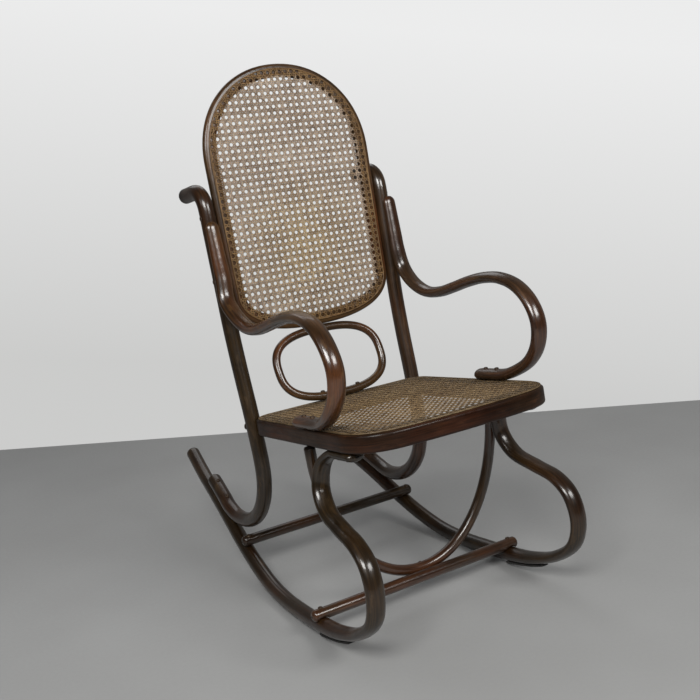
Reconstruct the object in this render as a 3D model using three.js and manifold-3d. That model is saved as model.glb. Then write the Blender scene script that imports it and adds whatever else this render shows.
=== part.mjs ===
// Bentwood rocking chair: bent beech rods screwed together, with a caned hoop for the back and a
// caned ring for the seat. Lengths are in millimetres and +Z is up. The sitter faces -Y, so the
// sitter's right side is -X. While it is laid out, y = 0 is the rear edge of the seat.

import * as THREE from "three";
import { mergeVertices } from "three/addons/utils/BufferGeometryUtils.js";
import Module from "manifold-3d";

const wasm = await Module();
wasm.setup();

// Whole chair
const chairHeight = 1052;
const touchGap = 0.3;
const sides = [
  { name: "right", sign: -1 },
  { name: "left", sign: 1 },
];

// Seat ring: a bent rail, level from side to side and lower at the rear
const seatFrontHeight = 424;
const seatDepth = 457;
const seatFrontWidth = 430;
const seatRearWidth = 412;
const seatFrontBow = 18;
const seatFrontCorner = 78;
const seatRearCornerRadius = 42;
const seatInnerCornerRadius = 4;
const seatSlope = THREE.MathUtils.degToRad(7.2);
const railHeight = 32;
const railThickness = 38;
const railRound = 5;

// Cane: one woven sheet on the seat's rail and one on the front of the back hoop
const caneThickness = 2;
const seatCaneRim = 4;
const hoopCaneRim = 9;
const canePitch = 38;
const caneHoleWidth = 25;
const caneBorder = 6;

// Back hoop, in the plane of the uprights
const backLean = THREE.MathUtils.degToRad(8.3);
const backSetback = 14;
const hoopUprightGap = 1.8;
const hoopArchHeight = 185;
const hoopCornerHeight = 90;
const hoopArchPower = 2.1;
const hoopCornerPower = 2.4;
const hoopBandWidth = 27;
const hoopBandThickness = 15;
const hoopBandRound = 6;

// Uprights: scroll, straight, J bend and run on the rocker's tail
const uprightDiameter = 31;
const uprightTopSpread = 210;
const uprightLowSpread = 193;
const uprightSeatGap = 1.2;
const scrollHeight = 475;
const scrollRadius = 39;
const scrollReach = 89;
const jFront = 8;
const jFrontHeight = 250;
const jBottomHeight = 117;
const jBottomReach = 138;
const uprightRunStart = 195;
const stackGap = 0.7;
const uprightRunReach = 289;
const uprightStraightShares = [0.12, 0.5];

// Rockers: tail, floor curve, front loop, leg and run under the seat
const rockerDiameter = 31;
const rockerContactDepth = 96;
const floorFlat = 1.2;
const rockerTailReach = 536;
const rockerTailRise = 169;
const rockerFrontReach = 362;
const rockerFrontSpread = 226;
const rockerTailSpread = 165;
const legWidth = 36;
const legThickness = 22;
const runThickness = 18;
const runLength = 93;
const runFlat = 1;
const rockerFloorShare = 0.64;
const rockerTailShares = [
  [1, 1],
  [0.85, 0.82],
  [0.7, 0.67],
  [0.55, 0.49],
  [0.41, 0.3],
  [0.27, 0.14],
  [0.13, 0.031],
  [0, 0],
];
const rockerLoopShares = [
  [0.2, 0.0095, 0],
  [0.41, 0.03, 0],
  [0.62, 0.068, 0],
  [0.82, 0.147, 0],
  [0.96, 0.265, 0],
  [0.995, 0.41, 0],
  [0.972, 0.55, 0.05],
  [0.896, 0.62, 0.1],
  [0.767, 0.655, 0.2],
  [0.59, 0.7, 0.35],
  [0.457, 0.79, 0.5],
  [0.397, 0.87, 0.65],
  [0.42, 0.945, 0.8],
];

// Arms: end on the upright, dip, crest, loop and foot on the seat
const armWidth = 34;
const armThickness = 22;
const armTopDrop = 37;
const armTopLength = 100;
const armTopWidth = 28;
const armTopThickness = 15;
const armTopGap = 0.4;
const armTurnOut = THREE.MathUtils.degToRad(12);
const armReach = 442;
const armCrestSpread = 212;
const armLoopSpread = 218;
const armFootFront = 300;
const armFootLength = 72;
const armFootInset = 4;
const armFootFlat = 1;
const armFootLiftShare = 0.15;
const armMiddleShares = [
  [0.068, 0.572, -0.3],
  [0.147, 0.484, -0.5],
  [0.251, 0.437, -0.5],
  [0.357, 0.447, -0.3],
  [0.46, 0.486, -0.1],
  [0.563, 0.53, 0.1],
  [0.672, 0.564, 0.3],
  [0.78, 0.572, 0.5],
  [0.88, 0.537, 0.8],
  [0.957, 0.455, 1],
  [1, 0.34, 1],
  [0.989, 0.21, 1],
  [0.93, 0.1, 0.8],
];

// Lower back ring, between the seat and the bottom edge of the hoop
const lowerRingHeight = 152;
const ringDiameter = 17;
const ringWidth = 244;
const ringPower = 2.7;

// Stretchers and under-seat bow
const stretcherDiameter = 23;
const frontSaddleDepth = 7;
const rearSaddleDepth = 0.6;
const saddleGap = 0.75;
const frontStretcherDepth = 252;
const frontStretcherLength = 486;
const rearStretcherReach = 98;
const rearStretcherLength = 434;
const bowDiameter = 21;
const bowWidth = 410;
const bowRunSpace = 46;
const bowFootOffset = 22;
const bowPower = 2.05;
const tenonDiameter = 12;
const tenonLength = 12;

// Rubber strips under the rockers
const stripWidth = 16;
const stripThickness = 4;
const stripGap = 0.4;
const stripRearDepth = 246;
const stripFrontDepth = 352;

// Wood screws and coach screws
const screwDiameter = 4;
const screwHeadDiameter = 9;
const screwHeadHeight = 2.6;
const screwHeadRimShare = 0.8;
const screwLength = 34;
const ringScrewLength = 26;
const boltDiameter = 6;
const boltHeadDiameter = 13;
const boltHeadHeight = 3.5;
const boltLength = 62;
const runScrewLength = 52;
const armTopScrewLength = 38;
const armScrewDepths = [243, 276];
const legScrewShares = [0.25, 0.6];
const runScrewReaches = [215, 268];
const hoopScrewShares = [0.672, 0.962];
const armTopScrewShare = 0.5;
const ringBottomScrewSpread = 42;

// Facets
const rodSides = 12;
const thinRodSides = 8;
const screwSides = 6;
const ringTurn = THREE.MathUtils.degToRad(15);
const chordError = 0.6;
const fineSteps = 400;

// Materials
function finish(color, roughness, metalness = 0) {
  return new THREE.MeshStandardMaterial({ color, roughness, metalness });
}
const woodFinish = finish(0x3a261c, 0.3);
const backCaneFinish = finish(0x96876f, 0.7);
const seatCaneFinish = finish(0x86714c, 0.7);
const rubberFinish = finish(0x141414, 0.9);
const steelFinish = finish(0x4a4038, 0.4, 0.8);

const chair = new THREE.Group();
const seat = new THREE.Group();
const back = new THREE.Group();
chair.add(seat, back);

function add(group, name, geometry, material) {
  const mesh = new THREE.Mesh(geometry, material);
  mesh.name = name;
  group.add(mesh);
  return mesh;
}

function vector(x, y, z) {
  return new THREE.Vector3(x, y, z);
}

// Sections: closed outlines of a swept piece, across its side and through its thickness
function oval(width, thickness, count) {
  const points = [];
  for (let i = 0; i < count; i++) {
    const angle = (2 * Math.PI * i) / count;
    points.push([(width / 2) * Math.cos(angle), (thickness / 2) * Math.sin(angle)]);
  }
  return points;
}

function roundedBar(width, thickness, round) {
  const points = [];
  const corners = [[1, 1], [-1, 1], [-1, -1], [1, -1]];
  corners.forEach(([right, top], corner) => {
    for (let i = 0; i <= 2; i++) {
      const angle = (Math.PI / 2) * (corner + i / 2);
      points.push([
        right * (width / 2 - round) + round * Math.cos(angle),
        top * (thickness / 2 - round) + round * Math.sin(angle),
      ]);
    }
  });
  return points;
}

// Places of the rings along a path, as shares of its length, closer together in the bends
function ringShares(path, closed) {
  const shares = [0];
  const length = path.getLength();
  let turned = 0;
  let before = path.getTangentAt(0);
  for (let i = 1; i < fineSteps; i++) {
    const share = i / fineSteps;
    const tangent = path.getTangentAt(share);
    turned += before.angleTo(tangent);
    before = tangent;
    const step = (share - shares[shares.length - 1]) * length;
    if (turned >= ringTurn || (turned * step) / 8 >= chordError) {
      shares.push(share);
      turned = 0;
    }
  }
  if (!closed) {
    shares.push(1);
  }
  return shares;
}

// A geometry from shared corners and triangles, turned so that its faces point out
function solidFrom(positions, triangles) {
  let volume = 0;
  const corner = (i) => vector(...positions[i]);
  for (const [a, b, c] of triangles) {
    volume += corner(a).dot(corner(b).cross(corner(c)));
  }
  const outward = volume > 0 ? triangles : triangles.map(([a, b, c]) => [a, c, b]);
  const geometry = new THREE.BufferGeometry();
  geometry.setAttribute("position", new THREE.Float32BufferAttribute(positions.flat(), 3));
  geometry.setIndex(outward.flat());
  geometry.computeVertexNormals();
  return geometry;
}

// A bar swept along a path. sectionAt gives the section at a share of the length, and across is
// the direction that the section's width keeps to. Open ends are rounded over endRound.
function sweep(path, sectionAt, across, { closed = false, endRounds = [0, 0] } = {}) {
  path.arcLengthDivisions = fineSteps;
  const shares = ringShares(path, closed);
  const positions = [];
  const triangles = [];
  const rings = [];
  const frameAt = (share) => {
    const along = path.getTangentAt(share);
    const side = across.clone().addScaledVector(along, -across.dot(along)).normalize();
    return { along, side, normal: along.clone().cross(side) };
  };
  const addRing = (centre, frame, section, scale) => {
    rings.push(positions.length);
    for (const [width, thickness] of section) {
      const point = centre.clone().addScaledVector(frame.side, width * scale);
      positions.push(point.addScaledVector(frame.normal, thickness * scale).toArray());
    }
  };
  const endSteps = [1 / 3, 2 / 3];
  const roundedEnd = (share, sign, endRound) => {
    const frame = frameAt(share);
    const rows = endSteps.map((step) => {
      const angle = (step * Math.PI) / 2;
      const centre = path.getPointAt(share);
      centre.addScaledVector(frame.along, sign * endRound * Math.sin(angle));
      return { centre, frame, scale: Math.cos(angle) };
    });
    return endRound > 0 ? rows : [];
  };
  if (!closed) {
    for (const row of roundedEnd(0, -1, endRounds[0]).reverse()) {
      addRing(row.centre, row.frame, sectionAt(0), row.scale);
    }
  }
  for (const share of shares) {
    addRing(path.getPointAt(share), frameAt(share), sectionAt(share), 1);
  }
  if (!closed) {
    for (const row of roundedEnd(1, 1, endRounds[1])) {
      addRing(row.centre, row.frame, sectionAt(1), row.scale);
    }
  }
  const count = sectionAt(0).length;
  const bands = closed ? rings.length : rings.length - 1;
  for (let band = 0; band < bands; band++) {
    const here = rings[band];
    const next = rings[(band + 1) % rings.length];
    for (let i = 0; i < count; i++) {
      const j = (i + 1) % count;
      triangles.push([here + i, here + j, next + j], [here + i, next + j, next + i]);
    }
  }
  if (!closed) {
    const closeEnd = (ring, share, advance, flip) => {
      const tip = path.getPointAt(share).addScaledVector(frameAt(share).along, advance);
      positions.push(tip.toArray());
      for (let i = 0; i < count; i++) {
        const triangle = [positions.length - 1, ring + ((i + 1) % count), ring + i];
        triangles.push(flip ? triangle.reverse() : triangle);
      }
    };
    closeEnd(rings[0], 0, -endRounds[0], false);
    closeEnd(rings[rings.length - 1], 1, endRounds[1], true);
  }
  return solidFrom(positions, triangles);
}

function smooth(points, closed = false) {
  return new THREE.CatmullRomCurve3(points, closed, "centripetal");
}

// The value at a share of the way through a table of [share, value, ...] rows
function blend(rows, share) {
  const next = rows.findIndex((row) => row[0] >= share);
  if (next <= 0) {
    return rows[next === 0 ? 0 : rows.length - 1].slice(1);
  }
  const [from, to] = [rows[next - 1], rows[next]];
  const t = (share - from[0]) / (to[0] - from[0]);
  return from.slice(1).map((value, i) => value + (to[i + 1] - value) * t);
}

// The point of a path at a given y, looked for between two shares of its length
function pointAtDepth(path, y, fromShare, toShare) {
  let [low, high] = [fromShare, toShare];
  const rising = path.getPointAt(high).y > path.getPointAt(low).y;
  for (let i = 0; i < fineSteps && high - low > 1 / (fineSteps * fineSteps); i++) {
    const middle = (low + high) / 2;
    const below = path.getPointAt(middle).y < y;
    [low, high] = below === rising ? [middle, high] : [low, middle];
  }
  return { share: low, point: path.getPointAt(low), along: path.getTangentAt(low) };
}

// Seat: local y = 0 is its rear edge and local z = 0 the top of its rail
const seatRearHeight = seatFrontHeight - seatDepth * Math.sin(seatSlope);
seat.position.set(0, 0, seatRearHeight);
seat.rotation.x = -seatSlope;
chair.updateMatrixWorld(true);

function onSeat(x, depth, height) {
  return seat.localToWorld(vector(x, -depth, height));
}

// A slab as large as the seat, used to cut flats on the rods that bear on it
function slabOverSeat(bottom, thickness) {
  const slab = new THREE.BoxGeometry(2 * seatFrontWidth, 2 * seatDepth, thickness);
  return slab.translate(0, -seatDepth / 2, bottom + thickness / 2);
}

function seatHalfWidth(depth) {
  const share = depth / seatDepth;
  return (seatRearWidth + (seatFrontWidth - seatRearWidth) * share) / 2;
}

// Half outline of the seat, from the middle of the rear edge to the middle of the front edge,
// moved in from the rail's outer face by an inset
function seatHalfOutline(inset) {
  const rear = seatRearWidth / 2;
  const front = seatFrontWidth / 2;
  const frontSide = seatDepth - seatFrontBow - seatFrontCorner;
  const cornerX = front - seatFrontCorner;
  const cornerY = seatDepth - seatFrontBow * (cornerX / front) ** 2;
  const path = new THREE.Path();
  path.moveTo(0, -inset);
  const radius = Math.max(seatRearCornerRadius - inset, seatInnerCornerRadius);
  const turn = rear - inset - radius;
  path.lineTo(turn, -inset);
  path.absarc(turn, -inset - radius, radius, Math.PI / 2, 0, true);
  path.lineTo(seatHalfWidth(frontSide) - inset, -frontSide);
  path.quadraticCurveTo(front - inset, inset - seatDepth + seatFrontBow, cornerX, inset - cornerY);
  path.quadraticCurveTo(cornerX / 2, inset - seatDepth, 0, inset - seatDepth);
  return path;
}

function mirrored(half) {
  const other = half.slice(1, -1).reverse();
  return [...half, ...other.map((point) => point.clone().setX(-point.x))];
}

function seatOutline(inset, divisions) {
  const points = seatHalfOutline(inset).getPoints(divisions);
  const distinct = points.filter((point, i) => i === 0 || point.distanceTo(points[i - 1]) > touchGap);
  return mirrored(distinct);
}

// Back: local z = 0 is the middle of the seat's rear rail and the uprights lie in local y = 0
const uprightSeatSpread = uprightSpreadAt(seatRearHeight);
const cornerReach = seatRearCornerRadius + uprightDiameter / 2 + uprightSeatGap;
const cornerOffset = uprightSeatSpread - (seatRearWidth / 2 - seatRearCornerRadius);
const uprightSeatY = Math.sqrt(cornerReach ** 2 - cornerOffset ** 2) - seatRearCornerRadius;
const uprightFoot = onSeat(0, -uprightSeatY, -railHeight / 2);
const backFoot = uprightFoot.clone().add(vector(0, backSetback, 0));
back.position.copy(backFoot);
back.rotation.x = -backLean;
chair.updateMatrixWorld(true);

function onBack(x, depth, height) {
  return back.localToWorld(vector(x, depth, height));
}

function backHeight(z) {
  return (z - backFoot.z) / Math.cos(backLean);
}

const hoopTop = backHeight(chairHeight);
const hoopBottom = backHeight(seatRearHeight) + lowerRingHeight;
const straightTop = scrollHeight - scrollRadius;

function uprightSpreadAt(z) {
  const share = (z - jFrontHeight) / (chairHeight - jFrontHeight);
  return uprightLowSpread + (uprightTopSpread - uprightLowSpread) * share;
}

// Half outline of the hoop, from the apex down to the middle of its bottom edge
function hoopHalfOutline(inset, steps) {
  const quarter = (halfWidth, height, power) => {
    const points = [];
    for (let i = 0; i <= steps; i++) {
      const angle = (Math.PI / 2) * (i / steps);
      points.push([
        (halfWidth - inset) * Math.sin(angle) ** (2 / power),
        (height - inset) * (1 - Math.cos(angle) ** (2 / power)),
      ]);
    }
    return points;
  };
  const beside = (height) => {
    const spread = uprightSpreadAt(onBack(0, 0, height).z);
    return spread - uprightDiameter / 2 - hoopUprightGap;
  };
  const arch = quarter(beside(hoopTop - hoopArchHeight), hoopArchHeight, hoopArchPower);
  const waist = beside(hoopBottom + hoopCornerHeight);
  const foot = quarter(waist, hoopCornerHeight, hoopCornerPower).reverse();
  return [
    ...arch.map(([x, drop]) => new THREE.Vector2(x, hoopTop - inset - drop)),
    ...foot.map(([x, rise]) => new THREE.Vector2(x, hoopBottom + inset + rise)),
  ];
}

function hoopOutline(inset, steps) {
  return mirrored(hoopHalfOutline(inset, steps));
}

// A flat net: an outline with rows of eight-sided holes where they fit inside the open space
function net(outline, open, holeCentres) {
  const shape = new THREE.Shape(outline);
  for (const centre of holeCentres) {
    const hole = [];
    for (let i = 0; i < 8; i++) {
      const angle = (Math.PI / 4) * (i + 1 / 2);
      hole.push(centre.clone().add(new THREE.Vector2(Math.cos(angle), Math.sin(angle))
        .multiplyScalar(caneHoleWidth / 2 / Math.cos(Math.PI / 8))));
    }
    if (hole.every((corner) => inside(corner, open))) {
      shape.holes.push(new THREE.Path(hole));
    }
  }
  return new THREE.ExtrudeGeometry(shape, { depth: caneThickness, bevelEnabled: false, steps: 1 });
}

function inside(point, outline) {
  let crossings = 0;
  outline.forEach((a, i) => {
    const b = outline[(i + 1) % outline.length];
    if (a.y > point.y !== b.y > point.y) {
      const x = a.x + ((b.x - a.x) * (point.y - a.y)) / (b.y - a.y);
      crossings += x > point.x ? 1 : 0;
    }
  });
  return crossings % 2 === 1;
}

function gridOver(outline, middleY) {
  const box = new THREE.Box2().setFromPoints(outline);
  const columns = Math.floor((box.max.x - box.min.x) / canePitch);
  const rows = Math.floor((box.max.y - box.min.y) / canePitch);
  const centres = [];
  for (let row = 0; row < rows; row++) {
    for (let column = 0; column < columns; column++) {
      const x = (column - (columns - 1) / 2) * canePitch;
      centres.push(new THREE.Vector2(x, middleY + (row - (rows - 1) / 2) * canePitch));
    }
  }
  return centres;
}

function makeSeatRing() {
  const line = seatOutline(railThickness / 2, 10).map((p) => vector(p.x, p.y, -railHeight / 2));
  const section = roundedBar(railThickness, railHeight, railRound);
  const across = vector(0, 0, 1);
  const turned = section.map(([width, height]) => [height, width]);
  return add(seat, "seat_ring", sweep(smooth(line, true), () => turned, across, { closed: true }),
    woodFinish);
}

function makeSeatCane() {
  const open = seatOutline(railThickness + caneBorder, 8);
  const centres = gridOver(open, -seatDepth / 2);
  const sheet = net(seatOutline(seatCaneRim, 8), open, centres);
  const mesh = add(seat, "seat_cane", sheet, seatCaneFinish);
  mesh.position.z = touchGap;
  return mesh;
}

function makeBackHoop() {
  const line = hoopOutline(hoopBandWidth / 2, 9).map((p) => vector(p.x, 0, p.y));
  const section = roundedBar(hoopBandThickness, hoopBandWidth, hoopBandRound);
  return add(back, "back_hoop",
    sweep(smooth(line, true), () => section, vector(0, 1, 0), { closed: true }), woodFinish);
}

function makeBackCane() {
  const open = hoopOutline(hoopBandWidth + caneBorder, 8);
  const middle = (hoopTop + hoopBottom) / 2;
  const sheet = net(hoopOutline(hoopCaneRim, 8), open, gridOver(open, middle));
  const mesh = add(back, "back_cane", sheet, backCaneFinish);
  mesh.rotation.x = Math.PI / 2;
  mesh.position.y = -hoopBandThickness / 2 - touchGap;
  return mesh;
}

// Rocker: one rod. Its run under the seat lies along the side rail.
const rodRest = rockerDiameter / 2;
const runDepthEnd = seatDepth - seatFrontCorner;
const runTop = -railHeight - touchGap + runFlat;

function rockerRun(sign, shareFromEnd) {
  const depth = runDepthEnd - runLength * shareFromEnd;
  const x = sign * (seatHalfWidth(depth) - railThickness / 2);
  return onSeat(x, depth, runTop - runThickness / 2);
}

function rockerPath(sign) {
  const points = rockerTailShares.map(([reach, rise]) => {
    const y = reach * rockerTailReach - rockerContactDepth;
    const inward = ((reach * rockerTailReach + rockerFrontReach)
      / (rockerTailReach + rockerFrontReach)) ** 2;
    const spread = rockerFrontSpread + (rockerTailSpread - rockerFrontSpread) * inward;
    return vector(sign * spread, y, rodRest + rise * rockerTailRise);
  });
  const contact = (rockerFrontReach / (rockerTailReach + rockerFrontReach)) ** 2;
  const bend = rockerRun(sign, 1);
  const legRise = bend.z - rodRest;
  rockerLoopShares.forEach(([reach, rise, toRail]) => {
    const inward = contact * (1 - Math.min(1, reach)) ** 2;
    const spread = rockerFrontSpread + (rockerTailSpread - rockerFrontSpread) * inward;
    const x = spread + (Math.abs(bend.x) - spread) * toRail;
    const front = -rockerContactDepth - reach * rockerFrontReach;
    const y = front + (bend.y - front) * toRail;
    points.push(vector(sign * x, y, rodRest + rise * legRise));
  });
  const runShares = [0.75, 0.5, 0.25, 0];
  runShares.forEach((share) => points.push(rockerRun(sign, share)));
  return smooth(points);
}

const rockerSectionShares = [
  [0, 1, 1],
  [0.5, 1, 1],
  [0.6, legWidth / rockerDiameter, legThickness / rockerDiameter],
  [0.86, legWidth / rockerDiameter, legThickness / rockerDiameter],
  [0.92, legWidth / rockerDiameter, runThickness / rockerDiameter],
  [1, legWidth / rockerDiameter, runThickness / rockerDiameter],
];

function makeRocker(side) {
  const path = rockerPath(side.sign);
  const sectionAt = (share) => {
    const [width, thickness] = blend(rockerSectionShares, share);
    return oval(width * rockerDiameter, thickness * rockerDiameter, rodSides);
  };
  const endRounds = [rockerDiameter / 3, runThickness / 2];
  const rocker = sweep(path, sectionAt, vector(1, 0, 0), { endRounds });
  const mesh = add(chair, `${side.name}_rocker`, rocker, woodFinish);
  const floor = new THREE.BoxGeometry(chairHeight, chairHeight, rodRest);
  cut(mesh, floor, new THREE.Matrix4().makeTranslation(0, 0, floorFlat - rodRest / 2));
  cut(mesh, slabOverSeat(-railHeight - touchGap, railHeight), seat.matrixWorld);
  return { path, mesh };
}

// Upright: one rod. It ends with a run stacked on the rocker's tail.
function besideRocker(path, y, distance) {
  const { share, point, along } = pointAtDepth(path, y, 0, rockerFloorShare);
  const across = vector(1, 0, 0).addScaledVector(along, -along.x).normalize();
  const up = along.clone().cross(across);
  up.multiplyScalar(Math.sign(up.z));
  return { at: point.clone().addScaledVector(up, distance), up, foot: point, along, share };
}

function uprightPath(side, rocker) {
  const { sign } = side;
  const spreadAt = (point) => point.setX(sign * uprightSpreadAt(point.z));
  const points = [];
  const reachShares = [1, 0.75];
  reachShares.forEach((share) => points.push(onBack(0, scrollReach * share, scrollHeight)));
  for (let i = 0; i <= 4; i++) {
    const angle = (Math.PI / 2) * (i / 4);
    points.push(onBack(0, scrollRadius * (1 - Math.sin(angle)),
      scrollHeight - scrollRadius * (1 - Math.cos(angle))));
  }
  const straightShares = [0.9, 0.75, 0.6, 0.45];
  straightShares.forEach((share) => {
    points.push(onBack(0, 0, straightTop * share));
  });
  const setbackShares = [[0.27, 0.3], [0, 1]];
  setbackShares.forEach(([share, setback]) => {
    points.push(onBack(0, -backSetback * setback, straightTop * share));
  });
  points.forEach(spreadAt);
  const stack = (rockerDiameter + uprightDiameter) / 2 + stackGap;
  const runStart = besideRocker(rocker.path, uprightRunStart, stack).at;
  const bendShares = [0, 0.25, 0.5, 0.75, 1];
  bendShares.forEach((share) => {
    const angle = (Math.PI / 2) * share;
    const x = sign * uprightLowSpread + (runStart.x - sign * uprightLowSpread) * share;
    const y = jBottomReach - (jBottomReach + jFront) * Math.cos(angle);
    const z = jFrontHeight + (jBottomHeight - jFrontHeight) * Math.sin(angle);
    points.push(vector(x, y, z));
  });
  const runShares = [0, 0.35, 0.7, 1];
  runShares.forEach((share) => {
    const y = uprightRunStart + (uprightRunReach - uprightRunStart) * share;
    points.push(besideRocker(rocker.path, y, stack).at);
  });
  return smooth(points);
}

function makeUpright(side, rocker) {
  const path = uprightPath(side, rocker);
  const section = oval(uprightDiameter, uprightDiameter, rodSides);
  const endRounds = [0, uprightDiameter / 3];
  const upright = sweep(path, () => section, vector(1, 0, 0), { endRounds });
  return { path, mesh: add(chair, `${side.name}_upright`, upright, woodFinish) };
}

// Arm: one rod from the upright's front to a foot on the seat
const footTop = touchGap + caneThickness + touchGap;

const armTopHeight = onBack(0, 0, straightTop).z - armTopDrop;

function armFoot(sign, depth) {
  const x = sign * (seatHalfWidth(depth) - armFootInset);
  return onSeat(x, depth, footTop + armThickness / 2 - armFootFlat);
}

function pointAtHeight(path, z, fromShare, toShare) {
  let [high, low] = [fromShare, toShare];
  for (let i = 0; i < fineSteps && low - high > 1 / (fineSteps * fineSteps); i++) {
    const middle = (high + low) / 2;
    [high, low] = path.getPointAt(middle).z > z ? [middle, low] : [high, middle];
  }
  return path.getPointAt(low);
}

function armPath(side, upright) {
  const { sign } = side;
  const points = [];
  const outward = vector(sign * Math.sin(armTurnOut), -Math.cos(armTurnOut), 0);
  const topSteps = [0, 0.35, 0.7, 1];
  topSteps.forEach((share) => {
    const z = armTopHeight - armTopLength * share;
    const thickness = armTopThickness + (armThickness - armTopThickness) * share;
    const stand = (uprightDiameter + thickness) / 2 + armTopGap;
    const point = pointAtHeight(upright.path, z, uprightStraightShares[0], uprightStraightShares[1]);
    points.push(point.addScaledVector(outward, stand));
  });
  const top = points[0];
  const foot = armFoot(sign, armFootFront);
  armMiddleShares.forEach(([forward, height, toLoop]) => {
    const x = armCrestSpread + (armLoopSpread - armCrestSpread) * toLoop;
    const z = foot.z + height * (top.z - foot.z);
    points.push(vector(sign * x, top.y - forward * armReach, z));
  });
  const footShares = [-0.25, 0.15, 0.5, 0.75, 1];
  footShares.forEach((share) => {
    const point = armFoot(sign, armFootFront - armFootLength * share);
    const lift = (armThickness / 2) * Math.max(0, armFootLiftShare - share);
    points.push(point.setZ(point.z + lift));
  });
  return smooth(points);
}

const armSectionShares = [
  [0, armTopWidth / armWidth, armTopThickness / armThickness],
  [0.12, 1, 1],
  [1, 1, 1],
];

function makeArm(side, upright) {
  const path = armPath(side, upright);
  const sectionAt = (share) => {
    const [width, thickness] = blend(armSectionShares, share);
    return oval(width * armWidth, thickness * armThickness, rodSides);
  };
  const endRounds = [armTopThickness, armThickness / 2];
  const arm = sweep(path, sectionAt, vector(1, 0, 0), { endRounds });
  const mesh = add(chair, `${side.name}_arm`, arm, woodFinish);
  cut(mesh, slabOverSeat(footTop - railHeight, railHeight), seat.matrixWorld);
  return { path, mesh };
}

// Lower back ring: from the seat's rear rail to the hoop's bottom edge
const ringFoot = onSeat(0, railThickness / 2, footTop + ringDiameter / 2);
const ringHead = onBack(0, 0, hoopBottom - touchGap - ringDiameter / 2);

function ringPoint(angle) {
  const middle = ringFoot.clone().add(ringHead).divideScalar(2);
  const rise = ringHead.clone().sub(ringFoot).divideScalar(2);
  const bulge = (value) => Math.sign(value) * Math.abs(value) ** (2 / ringPower);
  const point = middle.addScaledVector(rise, bulge(Math.sin(angle)));
  return point.setX((ringWidth / 2) * bulge(Math.cos(angle)));
}

function makeLowerRing() {
  const points = [];
  for (let i = 0; i < 32; i++) {
    points.push(ringPoint((2 * Math.PI * (i + 1 / 2)) / 32));
  }
  const section = oval(ringDiameter, ringDiameter, thinRodSides);
  const rise = ringHead.clone().sub(ringFoot).normalize();
  const across = rise.cross(vector(1, 0, 0));
  const ring = sweep(smooth(points, true), () => section, across, { closed: true });
  return add(chair, "lower_back_ring", ring, woodFinish);
}

// Stretchers lie on the rockers and the bow stands behind the front one
function makeStretcher(name, rockers, y, length, saddleDepth) {
  const stand = (rockerDiameter + stretcherDiameter) / 2 + touchGap - saddleDepth;
  const seats = rockers.map((rocker) => besideRocker(rocker.path, y, stand));
  const centre = seats[0].at.clone().add(seats[1].at).divideScalar(2);
  const straight = length / 2 - stretcherDiameter / 3;
  const path = new THREE.LineCurve3(
    centre.clone().setX(-straight), centre.clone().setX(straight));
  const section = oval(stretcherDiameter, stretcherDiameter, rodSides);
  const endRounds = [stretcherDiameter / 3, stretcherDiameter / 3];
  const rod = sweep(path, () => section, seats[0].up, { endRounds });
  const mesh = add(chair, name, rod, woodFinish);
  chair.updateMatrixWorld(true);
  seats.forEach((at) => {
    const reach = at.along.clone().multiplyScalar(rockerDiameter);
    const line = new THREE.LineCurve3(at.foot.clone().sub(reach), at.foot.clone().add(reach));
    const width = rockerDiameter + 2 * saddleGap;
    const saddle = sweep(line, () => oval(width, width, rodSides), vector(1, 0, 0));
    cut(mesh, saddle, new THREE.Matrix4());
  });
  return { seats, centre, mesh };
}

const bowTopDrop = touchGap + bowDiameter / 8;

function bowPath(stretcher) {
  const reach = (stretcherDiameter + bowDiameter * Math.cos(Math.PI / thinRodSides)) / 2 + touchGap;
  const bottom = stretcher.centre.clone();
  bottom.y += reach * Math.cos(Math.PI / 8);
  bottom.z += reach * Math.sin(Math.PI / 8);
  const top = onSeat(0, runDepthEnd - runLength - bowRunSpace, -railHeight - bowTopDrop);
  const halfWidth = bowWidth / 2;
  const rise = top.clone().sub(bottom);
  const points = [];
  for (let i = -14; i <= 14; i++) {
    const angle = (Math.PI / 2) * (i / 14);
    const x = Math.sign(angle) * halfWidth * Math.abs(Math.sin(angle)) ** (2 / bowPower);
    const share = 1 - Math.cos(angle) ** (2 / bowPower);
    const offset = bowFootOffset * (1 - share);
    points.push(bottom.clone().addScaledVector(rise, share).setX(x + offset));
  }
  bottom.setX(bowFootOffset);
  return { path: smooth(points), bottom, top, rise: rise.normalize(), halfWidth };
}

function makeBow(stretcher) {
  const bow = bowPath(stretcher);
  const section = oval(bowDiameter, bowDiameter, thinRodSides);
  const body = sweep(bow.path, () => section, bow.rise.clone().cross(vector(1, 0, 0)));
  const mesh = add(chair, "under_seat_bow", body, woodFinish);
  return { ...bow, mesh };
}

// Rubber strip: follows the rocker's underside
function makeStrip(side, rocker) {
  const points = [];
  const stepShares = [0, 0.25, 0.5, 0.75, 1];
  stepShares.forEach((step) => {
    const y = -stripRearDepth - (stripFrontDepth - stripRearDepth) * step;
    const { foot, up, share } = besideRocker(rocker.path, y, 0);
    const thickness = blend(rockerSectionShares, share)[1] * rockerDiameter;
    const down = (thickness + stripThickness) / 2 + stripGap;
    points.push(foot.clone().addScaledVector(up, -down));
  });
  const section = roundedBar(stripWidth, stripThickness, stripThickness / 4);
  const strip = sweep(smooth(points), () => section, vector(1, 0, 0));
  return add(chair, `${side.name}_rubber_strip`, strip, rubberFinish);
}

// Fasteners: local z = 0 is the surface under the head and the shank runs down -z
function turned(profile) {
  const points = profile.map(([radius, height]) => new THREE.Vector2(radius, height));
  return new THREE.LatheGeometry(points, screwSides).rotateX(Math.PI / 2);
}

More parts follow.
